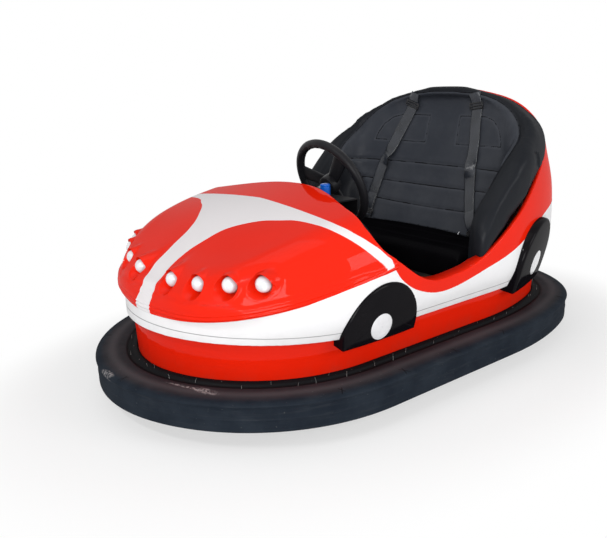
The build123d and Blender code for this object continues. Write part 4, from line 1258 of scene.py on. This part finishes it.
class BUMPER_OT_pods(bpy.types.Operator):
    """Black wheel pods on the sides, each with its white disc"""

    bl_idname = "bumper.pods"
    bl_label = "Build Pods"

    def execute(self, context):
        pods, discs = Patchwork(), Patchwork()
        for row, disc in zip(PODS, POD_DISCS):
            for side in (1, -1):
                self.pod(pods, row, side)
                self.disc(discs, row, disc, side)
        black = moulded("pod gloss", (0.0045, 0.0038, 0.0052), 0.10, 0.1, gloss=0.14, wear=0.5, shine=0.0)
        pods.make("pod_covers", black, "pod_black", ("wheel_pods",))
        white = moulded("disc gloss", (0.80, 0.80, 0.82), 0.18, 0.1, gloss=0.4, wear=0.2)
        discs.make("pod_trim", white, "disc_white", ("pod_discs",))
        return {"FINISHED"}

    @staticmethod
    def face(work, row, side, rows):
        """Grid from rows of points along and up the pod's face, with their height over it."""
        along, up, out = pod_frame(row)
        u, v = (np.stack([q[:, k] for q, _ in rows])[..., None] for k in (0, 1))
        w = np.stack([w for _, w in rows])[..., None]
        p = (np.array(row[:3]) + u * along + v * up + w * out) * np.array((side, 1.0, 1.0))
        work.grid(p, wrap_cols=True, flip=side > 0)
        return p

    def pod(self, work, row, side):
        r, foot, dome = row[3], row[4], row[7]
        edge = self.outline(r, foot)
        middle = np.array((0.0, (r - foot) * 0.42))
        rows = [(edge, np.full(len(edge), depth)) for depth in (-70.0, -26.0)]
        inward = self.inward(edge)
        radius = 9.0
        for a in np.linspace(0, pi / 2, 7):
            q = edge + inward * radius * (1 - cos(a))
            rows.append((q, pod_sag(q[:, 0], q[:, 1], dome) - radius * (1 - sin(a))))
        for share in (0.10, 0.22, 0.40, 0.60, 0.80, 0.96):
            q = (edge + inward * radius) * (1 - share) + middle * share
            rows.append((q, pod_sag(q[:, 0], q[:, 1], dome)))
        tip = self.face(work, row, side, rows)[-1:]
        hub = np.repeat(tip.mean(axis=1, keepdims=True), tip.shape[1], axis=1)
        work.grid(np.concatenate([tip, hub]), wrap_cols=True, flip=side > 0)

    @staticmethod
    def outline(r, foot):
        """Round top, straight front below the centre and a flat foot."""
        end = -asin(foot / r)
        arc = np.linspace(end, pi, 120)
        p = [(r * cos(a), r * sin(a)) for a in arc] + [(-r, -foot)]
        loop = np.array(p + p[:1])
        return resample(loop, 181)[:-1]

    @staticmethod
    def inward(edge):
        tangent = unit(np.roll(edge, -1, axis=0) - np.roll(edge, 1, axis=0))
        for _ in range(3):
            tangent = unit(tangent + np.roll(tangent, 1, axis=0) + np.roll(tangent, -1, axis=0))
        return np.stack([-tangent[:, 1], tangent[:, 0]], axis=1)

    def disc(self, work, row, disc, side):
        along, rise, radius = disc
        a = np.linspace(0, 2 * pi, 72, endpoint=False)
        ring = np.stack([np.cos(a), np.sin(a)], axis=1)
        rows = []
        edge = (1.0, -1.0), (1.0, 1.2), (0.985, 1.8)
        for size, high in (*edge, *((share, 2.0) for share in (0.96, 0.7, 0.35, 0.02))):
            q = np.array((along, rise)) + ring * radius * size
            rows.append((q, pod_sag(q[:, 0], q[:, 1], row[7]) + high))
        self.face(work, row, side, rows)


# a bezel's outline: over the lamp's radius, height from the lamp's middle
BEZEL = ((2.6, -5.0), (2.4, -3.4), (1.4, -2.4), (0.2, -2.6), (-0.8, -4.0))


class BUMPER_OT_lamps(bpy.types.Operator):
    """Headlamp lenses in their bezels"""

    bl_idname = "bumper.lamps"
    bl_label = "Build Lamps"

    def execute(self, context):
        lens, bezel = Patchwork("along"), Patchwork()
        a = np.linspace(radians(-14), radians(89), 26)
        dome = (LAMP_RADIUS - 0.6) * np.stack([np.cos(a), np.sin(a)], axis=1)
        along = ((pi / 2 - a) * LAMP_RADIUS * MM)[:, None]
        ring = round_profile([(LAMP_RADIUS + over, high) for over, high in BEZEL], 1)
        for side in (-1, 1):
            for row in HEADLAMPS:
                centre, out, across = BUMPER_OT_hood.lamp_frame(side, row)[:3]
                turned = lathe(dome, centre, out, across, 56)
                lens.grid(turned, wrap_cols=True, flip=True, along=along)
                bezel.grid(lathe(ring, centre, out, across, 56), wrap_cols=True, flip=True)
        lens.make("lamp_lenses", pearl_lens(), "lamp_lens", ("headlamps",))
        red = moulded("bezel plastic", (0.30, 0.02, 0.010), 0.25, 0.2, gloss=0.3)
        bezel.make("lamp_bezels", red, "hood_red")
        return {"FINISHED"}


# hub: radius and height along the wheel's axis
HUB = (
    (0.4, 17.5), (14, 17.5), (17, 18.2), (19, 21.5), (25, 22), (28, 20.5), (28.6, 14.6), (32, 14),
    (36, 11), (36, -22), (33, -26), (11.5, -26),
)
# a spoke's outline as shares of its half width and half thickness
SPOKE_FACE = ((1.02, 0.0), (1.0, 0.7), (0.93, 1.0), (0.82, 0.95), (0.74, 0.45), (0.4, 0.35))
SPOKE_BACK = ((1.0, -0.5), (0.9, -0.9), (0.5, -1.0))
SPOKE = np.array((
    (-1.0, -0.5), *((-u, v) for u, v in SPOKE_FACE), (0.0, 0.32), *SPOKE_FACE[::-1],
    *SPOKE_BACK, (0.0, -1.0), (-0.5, -1.0), (-0.9, -0.9),
))
SPOKE_THICK = 4.2


class BUMPER_OT_steering(bpy.types.Operator):
    """Steering wheel: padded rim, three ribbed spokes and a stepped hub"""

    bl_idname = "bumper.steering"
    bl_label = "Build Steering Wheel"

    def execute(self, context):
        axis = np.array((0.0, cos(WHEEL_TILT), sin(WHEEL_TILT)))
        side = np.array((1.0, 0.0, 0.0))
        down = np.cross(axis, side)
        grip = moulded("wheel grip", (0.010, 0.010, 0.012), 0.36, 1.0, wear=0.4, shine=0.14)
        a = np.linspace(0, 2 * pi, 180, endpoint=False)[None, :]
        b = np.linspace(0, 2 * pi, 36, endpoint=False)[:, None]
        seam = 0.5 * np.exp(-((np.abs(((b + pi) % (2 * pi)) - pi)) / 0.06) ** 2)
        finger = 0.9 * np.maximum(0, np.cos(b - pi * 1.2)) * (0.5 + 0.5 * np.cos(a * 30))
        tube = WHEEL_TUBE - 0.6 + seam - finger
        radial = WHEEL_RING + tube * np.cos(b)
        ring = np.cos(a)[..., None] * side - np.sin(a)[..., None] * down
        p = WHEEL_CENTRE + radial[..., None] * ring + (tube * np.sin(b))[..., None] * axis
        work = Patchwork()
        work.grid(p, wrap_rows=True, wrap_cols=True)
        work.make("wheel_rim", grip, "grip_black", ("steering_wheel_rim",), "steering")
        work = Patchwork()
        turned = lathe(round_profile(HUB, 2), WHEEL_CENTRE, axis, side, 72)
        work.grid(turned, wrap_cols=True, flip=True)
        for angle in SPOKE_ANGLES:
            g = radians(angle)
            out = cos(g) * side - sin(g) * down
            work.grid(self.spoke(out, np.cross(axis, out), axis), wrap_cols=True)
        work.make("wheel_hub", grip, "grip_black", ("steering_wheel_hub",), "steering")
        return {"FINISHED"}

    @staticmethod
    def spoke(out, flank, axis):
        """Flat blade with raised edges that widens from the hub to the rim."""
        over, high = SPOKE[:, :1], SPOKE[:, 1:]
        rows = []
        for share in np.linspace(0, 1, 26):
            middle = WHEEL_CENTRE + out * (30.0 + share * 113.0)
            wide = 22.0 + 6.0 * share
            rows.append(middle + over * wide * flank + high * SPOKE_THICK * axis)
        return np.stack(rows)


def bake(piece):
    """Applies the modifiers of a piece."""
    graph = bpy.context.evaluated_depsgraph_get()
    mesh = bpy.data.meshes.new_from_object(piece.evaluated_get(graph))
    piece.modifiers.clear()
    old, piece.data = piece.data, mesh
    bpy.data.meshes.remove(old)


def points(piece, key="co"):
    """Points of a piece in millimetres, or its unit normals."""
    p = np.empty(len(piece.data.vertices) * 3)
    piece.data.vertices.foreach_get(key, p)
    return p.reshape(-1, 3) / (MM if key == "co" else 1.0)


def move(piece, p):
    """Sets the points of a piece, in millimetres."""
    piece.data.vertices.foreach_set("co", (p * MM).ravel())
    piece.data.update()


def distance(flat, line):
    """Distance from each point to a dense line, in parcels that fit the memory."""
    out = np.full(len(flat), 1e9)
    for start in range(0, len(flat), 20000):
        away = ((flat[start:start + 20000, None] - line[None]) ** 2).sum(axis=-1)
        out[start:start + 20000] = np.sqrt(away.min(axis=1))
    return out


class BUMPER_OT_seat(bpy.types.Operator):
    """Padded seat back and cushion, filled by a cloth simulation and then sewn"""

    bl_idname = "bumper.seat"
    bl_label = "Build Seat"

    def execute(self, context):
        seat = settings("seat")
        # the bench finish is a near-black copy of the seat vinyl: painted shade over the cushion
        worn_and_shaded = vinyl("bench vinyl", (0.0035, 0.0032, 0.0040), (0.0020, 0.0018, 0.0024), 0.55, 0.03)
        firm = vinyl("seat vinyl", (0.052, 0.056, 0.066), (0.034, 0.038, 0.048), 0.42, 0.15)
        pads = ("seat_back", "seat_back_pad", 0.85, firm), ("seat_cushion", "seat_bench", 0.8, worn_and_shaded)
        for node, name, fill, cover in pads:
            piece = self.pad(node, name, seat)
            self.sew(piece, node)
            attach(piece, "car")
            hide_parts(node)
            node_finish(piece, cover)
        return {"FINISHED"}

    def pad(self, node, name, seat):
        """Copy of a node's mesh, remeshed, blown up a little and subdivided."""
        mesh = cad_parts[node].data.copy()
        mesh.name = name
        if "custom_normal" in mesh.attributes:
            mesh.attributes.remove(mesh.attributes["custom_normal"])
        mesh.materials.clear()
        piece = put(name, mesh)
        bpy.context.view_layer.objects.active = piece
        self.remesh(piece, seat.voxel, 5)
        if node == "seat_back":
            self.raise_wings(piece)
            self.remesh(piece, seat.voxel, 8)
            self.round_top(piece)
        self.blow(piece, seat)
        refine = piece.modifiers.new("refine", "SUBSURF")
        refine.levels = refine.render_levels = 1
        bake(piece)
        piece.data.shade_smooth()
        return piece

    @staticmethod
    def remesh(piece, size, rounds):
        """Even mesh over a piece, with its steps smoothed away."""
        mesh = piece.modifiers.new("remesh", "REMESH")
        mesh.mode, mesh.voxel_size, mesh.use_smooth_shade = "VOXEL", size, True
        soften = piece.modifiers.new("soften", "SMOOTH")
        soften.factor, soften.iterations = 0.6, rounds
        bake(piece)

    @staticmethod
    def raise_wings(piece):
        """Lifts the padded sides of the back above the shell's edge, up to the wing's crest."""
        p = points(piece)
        high = np.clip((p[:, 2] - cockpit_height(p[:, 1]) + 10.0) / 45.0, 0, 1)
        outer = np.clip((np.abs(p[:, 0]) - 345.0) / 95.0, 0, 1)
        share = high * high * (3 - 2 * high) * outer * outer * (3 - 2 * outer)
        p[:, 2] += wing_lift(p[:, 1]) * share
        move(piece, p)

    @staticmethod
    def round_top(piece):
        """Evens out the bolster over the head and draws its front ends down over the sill."""
        top = piece.vertex_groups.new(name="top")
        weight = np.clip((points(piece)[:, 2] - 850.0) / 60.0, 0, 1)
        for index in np.flatnonzero(weight > 0):
            top.add([int(index)], float(weight[index]), "REPLACE")
        soften = piece.modifiers.new("soften top", "SMOOTH")
        soften.factor, soften.iterations, soften.vertex_group = 0.7, 26, "top"
        bake(piece)
        p = points(piece)
        shoulder = np.clip((np.abs(p[:, 0]) - 330.0) / 80.0, 0, 1)
        shoulder *= np.clip((p[:, 2] - 600.0) / 90.0, 0, 1)
        p += points(piece, "normal") * (weight * 4.0 + shoulder * 7.0)[:, None]
        x, y = np.abs(p[:, 0]), p[:, 1]
        front = np.clip((215.0 - y) / 100.0, 0, 1) ** 1.6
        outer = np.clip((x - 430.0) / 62.0, 0, 1)
        p[:, 2] -= 30.0 * front * outer ** 2 + 9.0 * np.clip((p[:, 2] - 760.0) / 170.0, 0, 1)
        p[:, 1] += 26.0 * np.clip((170.0 - y) / 60.0, 0, 1) * (1 - outer) ** 2
        move(piece, p)

    @staticmethod
    def blow(piece, seat):
        """Fills a pad by a cloth simulation, up to the set swell."""
        rest = points(piece)
        cloth = piece.modifiers.new("cloth", "CLOTH")
        sets = cloth.settings
        sets.use_pressure, sets.uniform_pressure_force = True, seat.pressure
        sets.effector_weights.gravity = 0.0
        sets.quality = 4
        cloth.collision_settings.use_collision = False
        for index in range(1, 21):
            SCENE.frame_set(index)
        bake(piece)
        SCENE.frame_set(1)
        moved = points(piece) - rest
        length = np.linalg.norm(moved, axis=1, keepdims=True)
        moved *= np.minimum(1.0, seat.swell / MM / np.maximum(length, 1e-6)) * 0.6
        move(piece, rest + moved)

    @staticmethod
    def sew(piece, node):
        """Presses the seam lines in and keeps their distance for the finish."""
        p, normal = points(piece), points(piece, "normal")
        seam = np.full(len(p), 60.0)
        depth = np.zeros(len(p))
        bolster_shade = np.zeros(len(p))
        x, y, z = np.abs(p[:, 0]), p[:, 1], p[:, 2]
        if node == "seat_back":
            front = (normal[:, 1] < 0.35) & (z > 395.0)
            edge = curve_through(PANEL_EDGE, 300)
            inside = x < np.interp(z, edge[::-1, 1], edge[::-1, 0])
            flat = np.stack([x, z], axis=1)
            gap = distance(flat, edge)
            depth += front * 6.0 * np.exp(-(gap / 7.0) ** 2)
            # share of the bolster beyond the panel's edge, which the finish darkens as painted shade
            bolster_shade = np.clip(0.5 + np.where(front & inside, -gap, gap) / 10.0, 0, 1)
            seam = np.where(front, np.minimum(seam, gap), seam)
            depth -= (front & ~inside) * 5.0 * np.exp(-((gap - 38.0) / 26.0) ** 2)
            panel = front & inside
            for middle, side, reach in SEAM_HEIGHTS:
                line = middle + (side - middle) * (x / reach) ** 2
                away = np.hypot(z - line, np.maximum(x - reach, 0.0))
                depth += panel * 3.0 * np.exp(-(away / 5.0) ** 2)
                depth -= panel * 1.2 * np.exp(-((away - 16.0) / 10.0) ** 2)
                seam = np.where(panel, np.minimum(seam, away), seam)
            gap = distance(flat, resample(np.array(PATCH_LINE, float), 200))
            depth += panel * 2.0 * np.exp(-(gap / 4.0) ** 2)
            seam = np.where(panel, np.minimum(seam, gap), seam)
        else:
            top = normal[:, 2] > 0.2
            for line in (200.0, 290.0):
                away = np.abs(y - line)
                depth += top * 4.0 * np.exp(-(away / 7.0) ** 2)
                seam = np.where(top, np.minimum(seam, away), seam)
        move(piece, p - depth[:, None] * normal)
        write_field(piece.data, "seam", seam * MM)
        write_field(piece.data, "roll", bolster_shade)


class BUMPER_OT_belts(bpy.types.Operator):
    """Shoulder belts with sliders and a small hook"""

    bl_idname = "bumper.belts"
    bl_label = "Build Belts"

    def execute(self, context):
        pad = bpy.data.objects.get("seat_back_pad")
        if pad is None:
            raise RuntimeError("the seat is built before the belts")
        tree = surface_tree(pad)
        work, metal = Patchwork("along", "across"), Patchwork()
        for side, line in BELTS.items():
            self.belt(work, metal, tree, side, line)
        work.make("belt_straps", webbing(), "belt_web", ("shoulder_belts",))
        black = moulded("buckle plastic", (0.018, 0.018, 0.020), 0.28, 0.4, wear=0.6)
        metal.make("belt_buckles", black, "fitting_black", ("belt_fittings",))
        self.hook(tree)
        return {"FINISHED"}

    @staticmethod
    def skin(tree, x, z):
        hit = tree.ray_cast(Vector((x * MM, 0.0, z * MM)), Vector((0, 1, 0)))
        return hit[0].y / MM if hit[0] is not None else 540.0

    def belt(self, work, metal, tree, side, line):
        """Strap from the seat back's top to its hip plate, with folds and sliders."""
        centre = resample(curve_through([(side * x, z) for x, z in line], 120), 120)
        flank = unit(np.stack([-np.gradient(centre[:, 1]), np.gradient(centre[:, 0])], axis=1))
        flank *= np.sign(flank[:, :1])
        steps = np.r_[0, np.cumsum(np.linalg.norm(np.diff(centre, axis=0), axis=1))]
        share = steps / steps[-1]
        offs = np.linspace(-1, 1, 13)
        spots = centre[:, None] + flank[:, None] * offs[:, None] * BELT_WIDE / 2
        base = np.array([[self.skin(tree, *spot) for spot in row] for row in spots])
        base = base.min(axis=1, keepdims=True) * 0.6 + base * 0.4
        twist = TWIST * np.exp(-((share - TWIST_AT) / 0.035) ** 2) * side
        cup = 1.5 * np.sin(share * 19.0)
        half = BELT_WIDE / 2 * (1 - 0.05 * np.exp(-((share - TWIST_AT) / 0.05) ** 2))
        x = centre[:, :1] + flank[:, :1] * offs * (half * np.cos(twist))[:, None]
        z = centre[:, 1:] + flank[:, 1:] * offs * (half * np.cos(twist))[:, None]
        lift = 4.0 + 6.0 * np.exp(-((share - TWIST_AT) / 0.09) ** 2) + 4.0 * np.sin(pi * share) ** 2
        y = base - lift[:, None] + offs * (half * np.sin(twist))[:, None] - cup[:, None] * (1 - offs ** 2)
        p = np.stack([x, np.stack([evened(row, 9) for row in y.T], axis=1), z], axis=-1)
        normal = grid_normals(p)
        normal *= np.sign(-normal[60, 6, 1])
        loop = np.concatenate([p, (p - 1.6 * normal)[:, ::-1]], axis=1)
        over = np.r_[offs, offs[::-1]] * BELT_WIDE / 2 * MM
        work.grid(loop, wrap_cols=True, flip=side < 0, along=steps[:, None] * MM, across=over[None, :])
        for start, stop, rise in BELT_FOLDS:
            i, j = int(start * 119), int(stop * 119)
            bow = 1.2 + rise * np.sin(np.linspace(0, pi, j - i)) ** 0.7
            q = p[i:j] + normal[i:j] * bow[:, None, None]
            fold = np.concatenate([q, (q - 1.4 * normal[i:j])[:, ::-1]], axis=1)
            work.grid(fold, wrap_cols=True, flip=side < 0, along=steps[i:j, None] * MM, across=over[None, :])
        for index, tall in BELT_SLIDERS:
            self.slider(metal, p, normal, index, tall)

    @staticmethod
    def slider(metal, p, normal, index, tall):
        """Three-bar buckle lying on a belt."""
        centre, n = p[index, 6], normal[index, 6]
        wide = unit(p[index, -1] - p[index, 0])
        along = np.cross(n, wide)
        a = np.linspace(0, 2 * pi, 12, endpoint=False)
        corners = [(-30, -tall), (30, -tall), (30, tall), (-30, tall), (-30, -tall)]
        for bar in (*zip(corners, corners[1:]), ((-30, 0), (30, 0))):
            ends = [centre + wide * u + along * v + n * 3.4 for u, v in bar]
            run = unit(ends[1] - ends[0])
            flank = np.cross(run, n)
            rows = []
            for share, size in ((-0.03, 0.6), (0.0, 1.0), (1.0, 1.0), (1.03, 0.6)):
                middle = ends[0] + (ends[1] - ends[0]) * share
                rows.append(middle + size * (np.cos(a)[:, None] * flank * 3.0 + np.sin(a)[:, None] * n * 1.9))
            metal.grid(np.stack(rows), wrap_cols=True)

    def hook(self, tree):
        """Small chrome hook low on the seat back."""
        x = HOOK_AT[0]
        y = self.skin(tree, *HOOK_AT) - 6.0
        steps = (0, 4, 402), (0, -2, 398), (3, -8, 389), (10, -8, 383), (15, -4, 390)
        line = curve_through([(x + over, y + back, z) for over, back, z in steps], 40)
        run = unit(np.gradient(line, axis=0))
        flank = unit(np.cross(run, (0.3, 0.2, 1.0)))
        a = np.linspace(0, 2 * pi, 10, endpoint=False)[None, :, None]
        tube = line[:, None] + 1.7 * (np.cos(a) * flank[:, None] + np.sin(a) * np.cross(run, flank)[:, None])
        work = Patchwork()
        work.grid(tube, wrap_cols=True)
        work.make("belt_hook", bare_steel("hook chrome", (0.72, 0.72, 0.74), 0.12), "fitting_black")


# knob: radius and distance below its top
KNOB = ((17.6, 12), (16.8, 10), (17.6, 8), (17.4, 3), (14.5, 0.6), (10, 0.2), (0.4, 0.9))


class BUMPER_OT_fittings(bpy.types.Operator):
    """Dash knob and the finishes of the chassis, cockpit and running gear"""

    bl_idname = "bumper.fittings"
    bl_label = "Finish Fittings"

    def execute(self, context):
        low, high = (np.array(c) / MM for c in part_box("dash_switch"))
        centre = (low + high) / 2
        foot = low[2] - centre[2]
        top = high[2] - centre[2]
        outline = [(17.6, foot)] + [(radius, top - down) for radius, down in KNOB]
        p = lathe(round_profile(outline, 2), centre, (0, 0, 1), (1, 0, 0), 96)
        a = np.linspace(0, 2 * pi, 96, endpoint=False)
        flat = 1.0 - 0.035 * (0.5 - 0.5 * np.cos(6 * a))
        p[..., :2] = centre[:2] + (p[..., :2] - centre[:2]) * flat[None, :, None]
        work = Patchwork()
        work.grid(p, wrap_cols=True, flip=True)
        blue = moulded("knob blue", (0.004, 0.12, 0.60), 0.2, 0.2, gloss=0.3, shine=0.1)
        work.make("dash_knob", blue, "switch_blue", ("dash_switch",))
        for finish, nodes in self.finishes():
            for node in nodes:
                node_finish(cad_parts[node], finish)
        return {"FINISHED"}

    @staticmethod
    def finishes():
        return (
            (painted_steel("frame paint", (0.040, 0.040, 0.045)), ("chassis_frame", "bumper_rim")),
            (painted_steel("floor paint", (0.055, 0.055, 0.060)), ("floor_pan",)),
            (painted_steel("bridge paint", (0.065, 0.065, 0.070)), ("steering_bridge", "drive_fork")),
            (painted_steel("column paint", (0.028, 0.028, 0.032), 0.35), ("column_tube", "drive_motor")),
            (bare_steel("axle steel", (0.45, 0.45, 0.46)), ("rear_stub_axles", "steering_shaft")),
            (bare_steel("gear steel", (0.34, 0.33, 0.32), 0.4), ("king_gear",)),
            (bare_steel("pedal steel", (0.32, 0.32, 0.33), 0.35), ("accelerator_pedal",)),
            (cast_iron("hub iron", (0.22, 0.22, 0.23)),
             ("drive_wheel_hub", "rear_wheel_hub_left", "rear_wheel_hub_right")),
            (tyre_rubber(), ("drive_wheel_tyre", "rear_wheel_tyre_left", "rear_wheel_tyre_right")),
            (ribbed_mat(), ("floor_mat",)),
            (plywood(), ("seat_base",)),
            (moulded("liner plastic", (0.006, 0.006, 0.007), 0.55, 1.2, shine=0.08),
             ("cockpit_liner", "dash_panel")),
            (moulded("battery plastic", (0.028, 0.028, 0.032), 0.5, 0.8), ("battery",)),
        )


class BUMPER_PT_panel(bpy.types.Panel):
    """Lists the settings and the builders"""

    bl_label = "Bumper Car"
    bl_idname = "BUMPER_PT_panel"
    bl_space_type = "VIEW_3D"
    bl_region_type = "UI"
    bl_category = "Bumper Car"

    def draw(self, context):
        layout = self.layout
        for group in GROUPS:
            box = layout.box()
            for key in GROUPS[group].__annotations__:
                box.prop(settings(group), key)
        for operator in BUILDERS:
            layout.operator(operator.bl_idname)


GROUPS = {"body": BodySettings, "seat": SeatSettings, "stage": StageSettings}
BUILDERS = (
    BUMPER_OT_stage,
    BUMPER_OT_hood,
    BUMPER_OT_mouldings,
    BUMPER_OT_ring,
    BUMPER_OT_pods,
    BUMPER_OT_lamps,
    BUMPER_OT_steering,
    BUMPER_OT_seat,
    BUMPER_OT_belts,
    BUMPER_OT_fittings,
)


def register():
    for group, kind in GROUPS.items():
        bpy.utils.register_class(kind)
        setattr(bpy.types.Scene, "bumper_" + group, bpy.props.PointerProperty(type=kind))
    for kind in (*BUILDERS, BUMPER_PT_panel):
        bpy.utils.register_class(kind)


def unregister():
    for kind in reversed((*BUILDERS, BUMPER_PT_panel)):
        bpy.utils.unregister_class(kind)
    for group, kind in reversed(GROUPS.items()):
        delattr(bpy.types.Scene, "bumper_" + group)
        bpy.utils.unregister_class(kind)


def main():
    register()
    for operator in BUILDERS:
        family, name = operator.bl_idname.split(".")
        getattr(getattr(bpy.ops, family), name)()


if __name__ == "__main__":
    main()
